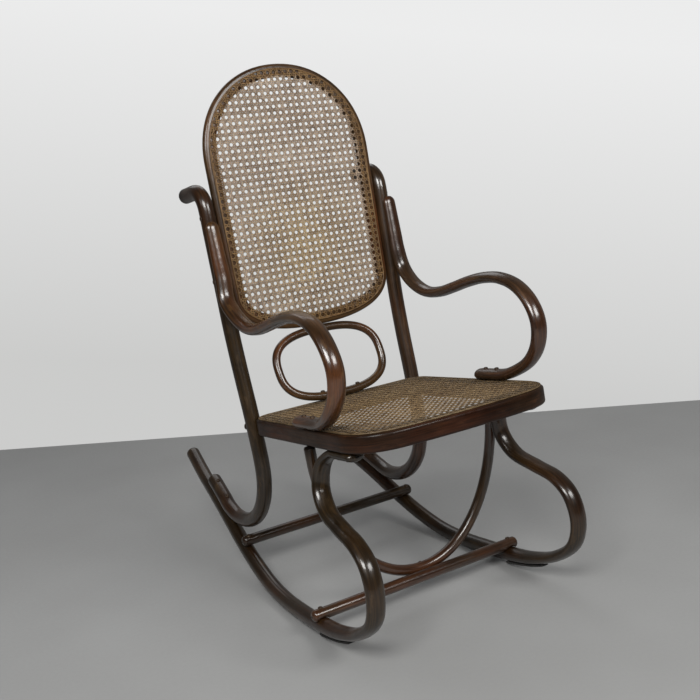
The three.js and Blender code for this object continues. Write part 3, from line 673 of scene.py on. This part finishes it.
# Varnish: its gloss, how much of it is left on a cut end, and the colour of bare end grain
coat_roughness = 0.2
coat_index = 1.62
cut_varnish = 0.04
cut_color = (0.006, 0.004, 0.003)


def wood_material(name, seed, brown, worn, varnish=1.0):
    """Dark stained beech under old varnish: grain along each rod, cut ends nearly black, dirt and painted
    shade near flat ends.
    """
    n = Nodes(name)
    grain = n.attribute("grain")
    cut = n.add("ShaderNodeSeparateXYZ", {0: n.attribute("place")}).outputs[0]
    start = (seed * 0.37, seed * 0.11, seed * 0.23)

    def field(stretch, scale, detail, rough=0.5):
        place = n.add("ShaderNodeMapping", {0: grain, 1: start, 3: stretch}).outputs[0]
        return n.noise(place, scale, detail, rough)

    streaks = field((4, 160, 160), 2.2, 5, 0.62)
    fine = field((22, 900, 900), 1.5, 3)
    patches = field((9, 22, 22), 1.0, 3)
    hue = field((5, 8, 8), 1.0, 2)
    wear = field((26, 60, 60), 1.0, 4, 0.6)
    dents = field((70, 70, 70), 1.0, 2)
    shades = ((0.3, 0.5), (0.48, 0.95), (0.62, 1.45), (0.76, 2.1))
    tone = n.ramp(streaks, [(at, tuple(c * shade for c in brown)) for at, shade in shades])
    tone = n.tint(tone, patches, [(0.33, 0.55), (0.52, 1.0), (0.7, 1.5)])
    tone = n.tint(tone, hue, [(0.4, (0.92, 0.99, 0.88)), (0.5, 1.0), (0.6, (1.24, 0.95, 0.84))])
    tone = n.mix(n.ramp(wear, [(0.58, 0.0), (0.76, 0.5)]), tone, worn)
    tone = n.tint(tone, fine, [(0.38, 0.66), (0.56, 1.06)])
    relief = n.math("ADD", n.math("MULTIPLY", fine, 0.4), n.math("MULTIPLY", dents, 1.6))
    return n.surface({
        "Base Color": n.mix(cut, tone, cut_color),
        "Roughness": n.ramp(wear, [(0.35, 0.3), (0.7, 0.5)]),
        "Specular IOR Level": 0.15,
        "Coat Weight": n.ramp(cut, [(0.1, varnish), (0.9, cut_varnish)]),
        "Coat Roughness": coat_roughness,
        "Coat IOR": coat_index,
        "Normal": n.bump(0.2, 0.0006, relief),
        "Coat Normal": n.bump(0.3, 0.0012, dents)})


def cane_material(name, light, dark, over_light, over_dark, wear_and_sheen_at, wear_and_sheen_cast):
    """Split cane: fine lines along each strand, dirt and painted shade along its edges, and a warmer tone
    over the wood.

    Around one place it takes another cast: a stain on the back where a sitter leans, a painted sheen on the
    seat.
    """
    n = Nodes(name)
    # The third value is the strand's tone, darkened on the diagonals as painted shade
    edge, over, strand_tone_and_shade = n.add("ShaderNodeSeparateXYZ", {0: n.attribute("place")}).outputs
    stretch = n.add("ShaderNodeMapping", {0: n.attribute("grain"), 3: (40, 1400, 60)}).outputs[0]
    lines = n.noise(stretch, 1.0, 3)
    position = n.position()
    # The open weave's paler tone, against the darker one over the wood, is painted light: the pale backdrop
    # shining through the holes
    tone = n.mix(over, n.mix(strand_tone_and_shade, dark, light), n.mix(strand_tone_and_shade, over_dark, over_light))
    tone = n.tint(tone, lines, [(0.35, 0.7), (0.6, 1.08)])
    clouds = n.noise(position, 9.0, 4, 0.6)
    tone = n.tint(tone, clouds, [(0.35, (0.78, 0.74, 0.68)), (0.6, (1.06, 1.06, 1.04))])
    tone = n.tint(tone, n.noise(position, 90.0, 3), [(0.36, (0.66, 0.6, 0.52)), (0.52, 1.0)])
    # Strand edges darkened: dirt and painted shade in the gaps between strands
    tone = n.tint(tone, edge, [(0.2, 1.04), (0.78, (0.2, 0.17, 0.15))])
    # A stain on the back, a lighter painted sheen on the seat
    away = n.vector_math("DISTANCE", position, wear_and_sheen_at)
    tone = n.tint(tone, away, [(0.03, wear_and_sheen_cast), (0.17, 1.0)])
    return n.surface({"Base Color": tone, "Roughness": n.ramp(lines, [(0.3, 0.38), (0.7, 0.55)]),
                      "Normal": n.bump(0.2, 0.0002, lines)})


def rubber_material():
    n = Nodes("rubber")
    position = n.position()
    dust = n.noise(position, 60.0, 5)
    return n.surface({"Base Color": n.ramp(dust, [(0.4, 0.008), (0.7, (0.035, 0.033, 0.03))]),
                      "Roughness": n.ramp(dust, [(0.3, 0.62), (0.7, 0.85)]),
                      "Normal": n.bump(0.25, 0.0002, n.noise(position, 900.0, 2))})


def steel_material():
    n = Nodes("old_steel")
    rust = n.noise(n.position(), 240.0, 5, 0.65)
    tone = n.ramp(rust, [(0.35, (0.1, 0.07, 0.045)), (0.5, (0.045, 0.026, 0.015)),
                         (0.7, (0.03, 0.016, 0.009))])
    return n.surface({"Base Color": tone, "Metallic": n.ramp(rust, [(0.4, 0.8), (0.55, 0.1)]),
                      "Roughness": n.ramp(rust, [(0.35, 0.35), (0.65, 0.6)]),
                      "Normal": n.bump(0.3, 0.0002, rust)})


dark_wood = wood_material("dark_bentwood", 1, (0.0205, 0.0106, 0.004), (0.078, 0.044, 0.016), 0.7)
brown_wood = wood_material("brown_bentwood", 2, (0.033, 0.0158, 0.0066), (0.1, 0.046, 0.016))
warm_wood = wood_material("warm_bentwood", 3, (0.048, 0.021, 0.0064), (0.165, 0.078, 0.02))
# The hoop's lighter, warmer tone is partly wear and partly painted light on its lit rim
hoop_wood_painted_lighter = wood_material("hoop_bentwood", 5, (0.05, 0.023, 0.0078), (0.15, 0.066, 0.02), 0.45)
rail_wood = wood_material("rail_bentwood", 4, (0.0215, 0.0088, 0.0038), (0.07, 0.027, 0.009), 0.15)
# The open weave's paler colours, against those over the wood, are painted light
back_cane = cane_material("back_cane", light=(0.67, 0.53, 0.4), dark=(0.295, 0.21, 0.145),
                          over_light=(0.37, 0.22, 0.085), over_dark=(0.14, 0.075, 0.026),
                          wear_and_sheen_at=(0, 0.065, 0.68), wear_and_sheen_cast=(1.05, 1.0, 0.72))
# The seat's lighter cast in its middle is a painted sheen
seat_cane = cane_material("seat_cane", light=(0.43, 0.3, 0.155), dark=(0.165, 0.104, 0.048),
                          over_light=(0.28, 0.195, 0.1), over_dark=(0.11, 0.072, 0.034),
                          wear_and_sheen_at=(-0.05, -0.22, 0.41), wear_and_sheen_cast=(1.25, 1.22, 1.15))
rubber = rubber_material()
steel = steel_material()

X = vec(1, 0, 0)

# Seat ring and back hoop. Each rod's grain starts at a place of its own.
phase_step = 0.71
phase = iter(np.arange(1, 40) * phase_step)


def make_rod(name, path, section, across, node, wood=dark_wood, **options):
    make_piece(name, sweep(path, section, across, **options), wood, [node], next(phase))


seat_line = [on_seat(x, -y, -rail_height / 2) for x, y in seat_outline(rail_thickness / 2)]
bar = rounded_bar(rail_thickness, rail_height, rail_round)[:, ::-1]
make_rod("seat_ring_rail", Path(seat_line, True), bar, seat_up, "seat_ring", rail_wood,
         spacing=fine_spacing)

hoop_line = [on_back(x, 0, y) for x, y in hoop_outline(hoop_band / 2)]
back_out = vec(0, math.cos(back_lean), -math.sin(back_lean))
band = rounded_bar(hoop_thickness, hoop_band, hoop_round)
make_rod("back_hoop_band", Path(hoop_line, True), band, back_out, "back_hoop", hoop_wood_painted_lighter,
         spacing=fine_spacing)

ring_line = [ring_point(2 * math.pi * (i + 0.5) / ring_points) for i in range(ring_points)]
ring_across = np.cross(unit(ring_head - ring_foot), X)
make_rod("lower_ring_rod", Path(ring_line, True), oval(ring_rod, ring_rod, ring_sides), ring_across,
         "lower_back_ring", warm_wood, spacing=finest_spacing)

# Rockers, uprights and arms
leg = (leg_width / rod, leg_thickness / rod)
rocker_sections = ((0, 1, 1), (0.5, 1, 1), (0.6, *leg), (0.86, *leg),
                   (0.92, leg[0], run_thickness / rod), (1, leg[0], run_thickness / rod))
arm_sections = ((0, arm_top_width / arm_width, arm_top_thickness / arm_thickness), (0.12, 1, 1), (1, 1, 1))


def over_seat(points):
    return (points - on_seat(0, 0, 0)) @ seat_up


def flats_of_rocker(points):
    points = points.copy()
    points[:, 2] = np.maximum(points[:, 2], floor_flat)
    height = over_seat(points)
    limit = -rail_height - touch_gap
    over = np.maximum(height - limit, 0) * ((height - limit) < rail_height)
    return points - over[:, None] * seat_up


def flat_of_arm(points):
    height = over_seat(points)
    under = np.maximum(foot_top - height, 0) * (height > foot_top - rail_height)
    return points + under[:, None] * seat_up


def scaled_oval(rows, width, thickness):
    def at(share):
        across, through = blend_rows(rows, share)
        return oval(across * width, through * thickness)
    return at


rockers = {}
for side, sign in SIDES:
    rocker = rocker_path(sign)
    make_rod(f"{side}_rocker_rod", rocker, scaled_oval(rocker_sections, rod, rod), X, f"{side}_rocker",
             ends=(("round", rod_tip), ("round", run_thickness / 2)), reshape=flats_of_rocker)
    upright = upright_path(sign, rocker)
    # The right upright takes the darker wood as painted shade, the left one the brown
    make_rod(f"{side}_upright_rod", upright, oval(rod, rod), X, f"{side}_upright",
             brown_wood if sign > 0 else dark_wood, ends=(("flat", upright_edge), ("round", rod_tip)))
    arm = arm_path(sign, upright)
    make_rod(f"{side}_arm_rod", arm, scaled_oval(arm_sections, arm_width, arm_thickness), X,
             f"{side}_arm", brown_wood if sign > 0 else warm_wood,
             ends=(("round", arm_top_thickness), ("round", arm_thickness / 2)),
             spacing=fine_spacing, reshape=flat_of_arm)
    rockers[side] = rocker


# Stretchers, saddled over the rockers, and the bow
def stretcher(node, wood, y, length, saddle):
    stand = (rod + stretcher_rod) / 2 + touch_gap - saddle
    seats = [beside_rocker(rocker, y, stand) for rocker in rockers.values()]
    centre = (seats[0][0] + seats[1][0]) / 2
    straight = length / 2 - stretcher_tip
    path = line_path(centre - X * straight, centre + X * straight)
    clear = rod / 2 + saddle_gap

    def hollow(points):
        points = points.copy()
        for _, up, foot, along in seats:
            side_way = np.cross(up, along)
            offset = points - foot
            across, rise = offset @ side_way, offset @ up
            near = (np.abs(across) < clear) & (rise > -clear)
            needed = np.sqrt(np.maximum(clear**2 - across**2, 0))
            lift = np.where(near, np.maximum(needed - rise, 0), 0)
            points += lift[:, None] * up
        return points

    make_rod(f"{node}_rod", path, oval(stretcher_rod, stretcher_rod, thin_rod_sides), seats[0][1], node,
             wood, ends=(("round", stretcher_tip),) * 2, spacing=saddle_spacing, reshape=hollow)
    return centre


front_centre = stretcher("front_stretcher", brown_wood, -front_stretcher_depth, front_stretcher_length,
                         front_saddle)
stretcher("rear_stretcher", dark_wood, rear_stretcher_reach, rear_stretcher_length, rear_saddle)


def bow_path():
    lean = math.pi / 8
    reach = (stretcher_rod + bow_rod * math.cos(lean)) / 2 + touch_gap
    bottom = front_centre + vec(0, math.cos(lean), math.sin(lean)) * reach
    top = on_seat(0, run_front - run_length - bow_run_space, -rail_height - touch_gap - bow_rod / 8)
    rise = top - bottom
    points = []
    for i in range(-bow_steps, bow_steps + 1):
        a = math.pi / 2 * i / bow_steps
        share = 1 - max(math.cos(a), 0) ** (2 / bow_power)
        p = bottom + rise * share
        p[0] = np.sign(a) * bow_width / 2 * abs(math.sin(a)) ** (2 / bow_power)
        p[0] += bow_foot_offset * (1 - share)
        points.append(p)
    return Path(points), unit(rise)


bow, bow_rise = bow_path()
make_rod("under_seat_bow_rod", bow, oval(bow_rod, bow_rod, thin_rod_sides), np.cross(bow_rise, X),
         "under_seat_bow", brown_wood, ends=(("flat", bow_edge),) * 2)

# Rubber strips under the rockers
for side, rocker in rockers.items():
    line = []
    for depth in np.linspace(strip_rear, strip_front, strip_points):
        share = point_at(rocker, -depth, 1, 0, rocker_floor_share)[2]
        thickness = blend_rows(rocker_sections, share)[1] * rod
        line.append(beside_rocker(rocker, -depth, -(thickness + strip_thickness) / 2 - strip_gap)[0])
    section = rounded_bar(strip_width, strip_thickness, strip_thickness / 4, steps=3)
    pad = sweep(Path(line), section, X, ends=(("flat", strip_edge),) * 2, spacing=finest_spacing)
    make_piece(f"{side}_rubber_strip_pad", pad, rubber, [f"{side}_rubber_strip"])

# Cane: pairs of strands up and across, and single strands on both diagonals, woven as real strands
pitch = 13.6
pair_offset = 1.9
strand_width = 2.8
strand_thick = 0.85
pair_wave = 0.32
diagonal_wave = 0.75
width_spread = 0.06
edge_drop = 0.1
shortest_strand = 4
knot_clear = 0.8
grain_spread = 900
tone_shape = (2.6, 1.8)
# The diagonal strands are darkened as painted shade, one family more than the other
diagonal_painted_shade = (0.5, 0.8)
weave_inset = 1.8
cane_lift = 0.15

# The spline round each panel. Its values are its edge, that it lies over the wood, and its tone.
spline_inset = 2
spline_width = 3
spline_height = 2.4
spline_sides = 10
spline_values = (0, 1, 0.15)


def span(outline, origin, direction):
    """Where a line crosses a convex outline, as the lowest and highest distance along it."""
    a, b = outline, np.roll(outline, -1, axis=0)
    normal = np.array([-direction[1], direction[0]])
    da, db = (a - origin) @ normal, (b - origin) @ normal
    hit = (da > 0) != (db > 0)
    if not hit.any():
        return None
    t = da[hit] / (da[hit] - db[hit])
    along = (a[hit] + t[:, None] * (b[hit] - a[hit]) - origin) @ direction
    return along.min(), along.max()


def inside(outline, points):
    """Which points lie inside a closed outline."""
    a, b = outline[None], np.roll(outline, -1, axis=0)[None]
    x, y = points[:, :1], points[:, 1:]
    rises = (a[..., 1] > y) != (b[..., 1] > y)
    run = np.where(rises, b[..., 1] - a[..., 1], 1)
    left_of = x < a[..., 0] + (y - a[..., 1]) * (b[..., 0] - a[..., 0]) / run
    return (rises & left_of).sum(1) % 2 == 1


def weave(outline, opening, centre, to_space, sag):
    """Points, faces and corner values of the whole woven panel.

    The corner values are the grain along and across a strand, then how near its edge a corner is, whether it
    lies over the wood, and the strand's own tone, darkened on the diagonals as painted shade.
    """
    all_points, all_faces, all_corners = [], [], []
    base = 0

    def strand(origin, direction, knots, heights, shade_factor=1.0):
        nonlocal base
        ends = span(outline, origin, direction)
        if ends is None or ends[1] - ends[0] < shortest_strand:
            return
        inner = (knots > ends[0] + knot_clear) & (knots < ends[1] - knot_clear)
        t = np.concatenate([[ends[0]], knots[inner], [ends[1]]])
        h = np.concatenate([[0], heights[inner], [0]])
        flat = origin + t[:, None] * direction
        side = np.array([-direction[1], direction[0]])
        h = h - sag(flat)
        half = strand_width / 2 * (1 + rng.uniform(-width_spread, width_spread))
        # A random tone per strand, times the painted shade of the diagonals
        tone = rng.beta(*tone_shape) * shade_factor
        over = 1.0 - inside(opening, flat)
        section = ((-half, -edge_drop), (0, strand_thick / 2), (half, -edge_drop), (0, -strand_thick / 2))
        rows = [(flat + side * w, h + z) for w, z in section]
        ring = np.stack([to_space(p, z) for p, z in rows], 1)
        n = len(t)
        all_points.append(ring.reshape(-1, 3))
        start = base + np.arange(n - 1)[:, None] * 4
        j = np.arange(4)
        quads = np.stack([start + j, start + (j + 1) % 4, start + 4 + (j + 1) % 4, start + 4 + j], 2)
        quads = quads.reshape(-1, 4)
        all_faces.extend(quads.tolist())
        across = np.array([-half, 0, half, 0])
        index = quads - base
        edge = np.array([1, 0, 1, 1])
        values = np.stack([t[index // 4], across[index % 4] + rng.uniform(0, grain_spread),
                           np.zeros(index.shape), edge[index % 4], over[index // 4],
                           np.full(index.shape, tone)], 2)
        all_corners.append(values.reshape(-1, 6))
        last = base + 4 * (n - 1)
        all_faces.extend([[base + 3, base + 2, base + 1, base], [last, last + 1, last + 2, last + 3]])
        all_corners.append(np.tile([0, 0, 0, 1, 1, tone], (8, 1)))
        base += 4 * n

    reach = int(np.ptp(outline, axis=0).max() / pitch) + 3
    lines = np.arange(-reach, reach + 1) * pitch
    knots = np.concatenate([[m - pair_offset, m + pair_offset, m + pitch / 2] for m in lines])
    for direction, lead in ((np.array([1.0, 0.0]), 1), (np.array([0.0, 1.0]), -1)):
        for k in lines:
            for twin in (-1, 1):
                origin = centre + direction[::-1] * (k + twin * pair_offset)
                wave = twin * lead * pair_wave
                heights = np.tile([-wave, wave, 0], len(lines))
                strand(origin, direction, knots, heights)
    cross = pitch / math.sqrt(2)
    for turn, shade_factor in zip((1, -1), diagonal_painted_shade):
        direction = np.array([1.0, turn]) / math.sqrt(2)
        for k in np.arange(-2 * reach, 2 * reach + 1):
            origin = centre + np.array([(k + 0.5) * pitch, 0])
            m = np.arange(-2 * reach, 2 * reach + 1)
            knots = np.repeat(m * cross, 2) + np.tile([0, cross / 2], len(m))
            # The strand meets a level pair at even crossings and an upright pair at odd ones
            sign = np.where(m % 2 == 0, turn, -turn)
            heights = np.stack([sign * diagonal_wave, np.zeros(len(m))], 1).ravel()
            strand(origin, direction, knots, heights, shade_factor)
    return np.vstack(all_points), all_faces, np.vstack(all_corners)


def cane_panel(name, material, normal, outline, rim_outline, opening, middle, to_space, sag):
    """A woven panel and the spline round it. Its name is also its node's."""
    make_piece(f"{name}_weave", weave(outline, opening, middle, to_space, sag), material, [name])
    line = Path([to_space(np.array([p]), np.array([0.0]))[0] for p in rim_outline], True)
    section = oval(spline_width, spline_height, spline_sides)
    points, faces, corners = sweep(line, section, normal, spacing=finest_spacing)
    corners[:, 3:] = spline_values
    make_piece(f"{name}_spline", (points, faces, corners), material, [])


cane_height = touch_gap + cane_thickness / 2 + cane_lift
seat_sag_depth = 3.0


def seat_space(p, z):
    return np.array([on_seat(x, -y, cane_height + h) for (x, y), h in zip(p, z)])


def seat_sag(p):
    x = p[:, 0] / (seat_front_width / 2 - rail_thickness)
    y = (p[:, 1] + seat_depth / 2) / (seat_depth / 2 - rail_thickness)
    return seat_sag_depth * np.maximum(1 - x**2, 0) * np.maximum(1 - y**2, 0)


cane_panel("seat_cane", seat_cane, seat_up,
           outline=seat_outline(seat_cane_rim + weave_inset),
           rim_outline=seat_outline(seat_cane_rim + spline_inset),
           opening=seat_outline(rail_thickness), middle=np.array([0.0, -seat_depth / 2]),
           to_space=seat_space, sag=seat_sag)


def back_space(p, z):
    return np.array([on_back(x, -hoop_thickness / 2 - cane_height - h, y) for (x, y), h in zip(p, z)])


cane_panel("back_cane", back_cane, back_out,
           outline=hoop_outline(hoop_cane_rim + weave_inset),
           rim_outline=hoop_outline(hoop_cane_rim + spline_inset),
           opening=hoop_outline(hoop_band), middle=np.array([0.0, (hoop_top + hoop_bottom) / 2]),
           to_space=back_space, sag=lambda p: np.zeros(len(p)))

# Screws: a domed slotted head and a shank, each where its packed screw is
head_sink = 0.7
screw_head_height = 2.6
bolt_head_height = 3.5
low_head_height = 1.2
screw_shank = 4
bolt_shank = 6
rim_share = 0.32
dome_share = 0.68
dome_steps = 8
slot_length = 1.2
slot_width = 0.15
slot_lift = 1.05
sharp_from = math.radians(38)


def screw_mesh(head, height, shank, length, sides=28):
    """A turned screw with a slot cut across its head. Local z = 0 is the surface under the head."""
    profile = [(0, -length), (shank / 2, shank / 2 - length), (shank / 2, -head_sink), (head / 2, -head_sink),
               (head / 2, rim_share * height)]
    for a in np.linspace(0, math.pi / 2, dome_steps)[1:-1]:
        profile.append((head / 2 * math.cos(a), height * (rim_share + dome_share * math.sin(a))))
    points, faces = [(0, 0, -length)], []
    for radius, z in profile[1:]:
        points += [(radius * math.cos(a), radius * math.sin(a), z)
                   for a in np.linspace(0, 2 * math.pi, sides, endpoint=False)]
    points.append((0, 0, height))
    top, rows = len(points) - 1, len(profile) - 2
    for i in range(sides):
        j = (i + 1) % sides
        faces.append((0, 1 + j, 1 + i))
        for row in range(rows):
            a = 1 + row * sides
            faces.append((a + i, a + j, a + sides + j, a + sides + i))
        a = 1 + rows * sides
        faces.append((a + i, a + j, top))
    mesh = bpy.data.meshes.new("screw")
    mesh.from_pydata((np.array(points) * MM).tolist(), [], faces)
    body = add_object("screw_body", mesh)
    slot_mesh = bpy.data.meshes.new("slot")
    cutter = bmesh.new()
    bmesh.ops.create_cube(cutter, size=1)
    size = Vector((head * slot_length, head * slot_width, height)) * MM
    place = Matrix.Translation((0, 0, slot_lift * height * MM)) @ Matrix.Diagonal((*size, 1))
    bmesh.ops.transform(cutter, matrix=place, verts=cutter.verts)
    cutter.to_mesh(slot_mesh)
    cutter.free()
    knife = add_object("slot", slot_mesh)
    cut = body.modifiers.new("slot", "BOOLEAN")
    cut.operation, cut.object, cut.solver = "DIFFERENCE", knife, "EXACT"
    dg = bpy.context.evaluated_depsgraph_get()
    made = bpy.data.meshes.new_from_object(body.evaluated_get(dg))
    for obj in (body, knife):
        bpy.data.objects.remove(obj)
    made.shade_smooth()
    made.set_sharp_from_angle(angle=sharp_from)
    made.materials.append(steel)
    return made


# A screw's axis joins its two corners farthest apart, and its head is at its widest corner
screw_kinds = {}
for node_name in sorted(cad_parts):
    bolt = node_name.endswith("_bolt")
    if "_screw" not in node_name and not bolt:
        continue
    corners = np.array([v.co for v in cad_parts[node_name].data.vertices]) / MM
    gaps = np.linalg.norm(corners[:, None] - corners[None], axis=2)
    a, b = np.unravel_index(gaps.argmax(), gaps.shape)
    tip, head_top = corners[a], corners[b]
    axis = unit(head_top - tip)
    offsets = corners - tip
    radii = np.linalg.norm(offsets - np.outer(offsets @ axis, axis), axis=1)
    widest = (offsets @ axis)[radii.argmax()]
    if widest < gaps.max() / 2:
        tip, head_top, axis = head_top, tip, -axis
    stand = touch_gap + (bolt_head_height if bolt else screw_head_height)
    height = low_head_height if "_hoop_" in node_name else stand
    head, reach = round(2 * radii.max(), 1), round(gaps.max(), 1)
    kind = (head, reach, height)
    if kind not in screw_kinds:
        screw_kinds[kind] = screw_mesh(head, height, bolt_shank if bolt else screw_shank, reach - stand)
    mesh = screw_kinds[kind].copy()
    turn = Matrix.Rotation(rng.uniform(0, math.pi), 4, "Z")
    place = Vector(axis).to_track_quat("Z", "Y").to_matrix().to_4x4()
    seat_at = Matrix.Translation(Vector((head_top - axis * stand) * MM))
    mesh.transform(seat_at @ place @ turn)
    add_piece(f"{node_name}_head", mesh, [node_name])
for mesh in screw_kinds.values():
    bpy.data.meshes.remove(mesh)

# Camera at the photograph's place
position = vec(-1.0016, -1.7688, 0.9079)
azimuth, elevation, roll = math.radians(-30.29), math.radians(12.28), math.radians(-5.87)
look = vec(-math.sin(azimuth) * math.cos(elevation), math.cos(azimuth) * math.cos(elevation),
           -math.sin(elevation))
level = vec(math.cos(azimuth), math.sin(azimuth), 0)
upward = np.cross(level, look)
right_way = math.cos(roll) * level + math.sin(roll) * upward
up_way = -math.sin(roll) * level + math.cos(roll) * upward
optics = bpy.data.cameras.new("camera")
optics.sensor_width = 36
optics.lens = 51.98
optics.shift_x = 0.0032
optics.shift_y = -0.0008
camera = add_object("camera", optics)
camera.matrix_world = Matrix([[right_way[i], up_way[i], -look[i], position[i]] for i in range(3)]
                             + [[0, 0, 0, 1]])
scene.camera = camera

# Floor: plain grey with a soft sheen. Its far edge lies where the photograph's floor ends.
floor_mesh = bpy.data.meshes.new("floor")
wall_from, wall_to = vec(-0.4018, 1.5646, 0), vec(1.3854, 0.2416, 0)
wall_way = unit(wall_to - wall_from)
wall_out = vec(wall_way[1], -wall_way[0], 0)
floor_side, floor_depth = wall_way * 4, wall_out * 7
floor_corners = (wall_from - floor_side, wall_to + floor_side, wall_to + floor_side + floor_depth,
                 wall_from - floor_side + floor_depth)
floor_mesh.from_pydata([list(p) for p in floor_corners], [], [(0, 3, 2, 1)])
floor = add_object("floor", floor_mesh)
n = Nodes("floor")
cloud = n.noise(n.position(), 2.2, 3)
speck = n.noise(n.position(), 140.0, 2)
tone = n.ramp(cloud, [(0.3, (0.293, 0.294, 0.292)), (0.7, (0.324, 0.326, 0.325))])
grey = n.surface({"Base Color": tone, "Roughness": n.ramp(speck, [(0.3, 0.5), (0.7, 0.6)])})
floor_mesh.materials.append(grey)

# World: pale for the camera, plain light on surfaces, and in reflections a dark room with a paler side
surface_color, surface_strength = (0.88, 0.89, 0.9), 0.35
room_dark, room_pale = (0.025, 0.023, 0.021), (0.16, 0.155, 0.15)
wall_low, wall_high = (0.6, 0.602, 0.595), (0.84, 0.842, 0.842)
wall_rise, rise_from, rise_to = (0.17, -0.1, 1), -0.24, 0.1
world = bpy.data.worlds.new("world")
scene.world = world
world.use_nodes = True
world.node_tree.nodes.clear()
n = Nodes("world", world.node_tree)


def background(color, strength):
    color = (*color, 1) if isinstance(color, tuple) else color
    return n.add("ShaderNodeBackground", {0: color, 1: strength}).outputs[0]


def choose(factor, no, yes):
    return n.add("ShaderNodeMixShader", {0: factor, 1: no, 2: yes}).outputs[0]


rays = n.add("ShaderNodeLightPath").outputs
toward = n.add("ShaderNodeTexCoord").outputs["Generated"]
room = n.ramp(n.vector_math("DOT_PRODUCT", toward, tuple(-wall_out)), [(0.0, room_dark), (0.55, room_pale)])
rise = n.vector_math("DOT_PRODUCT", toward, wall_rise)
rise = n.add("ShaderNodeMapRange", {0: rise, 1: rise_from, 2: rise_to}).outputs[0]
wall = n.ramp(rise, [(0.0, wall_low), (1.0, wall_high)])
unseen = choose(rays["Is Glossy Ray"], background(surface_color, surface_strength), background(room, 1.0))
n.add("ShaderNodeOutputWorld", {0: choose(rays["Is Camera Ray"], unseen, background(wall, 1.0))})

# Lights, by the side and height that each shines from
day_color, sky_color, wall_color = (1.0, 0.99, 0.97), (0.97, 0.98, 1.0), (0.98, 0.99, 1.0)
light_target = Vector((0, 0, 0.5))


def area_light(name, azimuth_deg, elevation_deg, distance, size, power, color):
    data = bpy.data.lights.new(name, "AREA")
    data.shape = "RECTANGLE"
    data.size, data.size_y = size
    data.energy = power
    data.color = color
    light = add_object(name, data)
    a, e = math.radians(azimuth_deg), math.radians(elevation_deg)
    away = Vector((math.sin(a) * math.cos(e), -math.cos(a) * math.cos(e), math.sin(e)))
    light.location = light_target + away * distance
    light.rotation_mode = "QUATERNION"
    light.rotation_quaternion = (-away).to_track_quat("-Z", "Y")


area_light("left_window", -42, 34, 3.2, size=(1.4, 0.95), power=72, color=day_color)
area_light("right_window", 14, 30, 3.2, size=(1.3, 0.8), power=44, color=day_color)
area_light("side_window", -82, 30, 3.4, size=(0.9, 0.8), power=5, color=sky_color)
area_light("wall_bounce", 165, 42, 3.0, size=(2.2, 1.4), power=11, color=wall_color)

scene.view_settings.view_transform = "Standard"
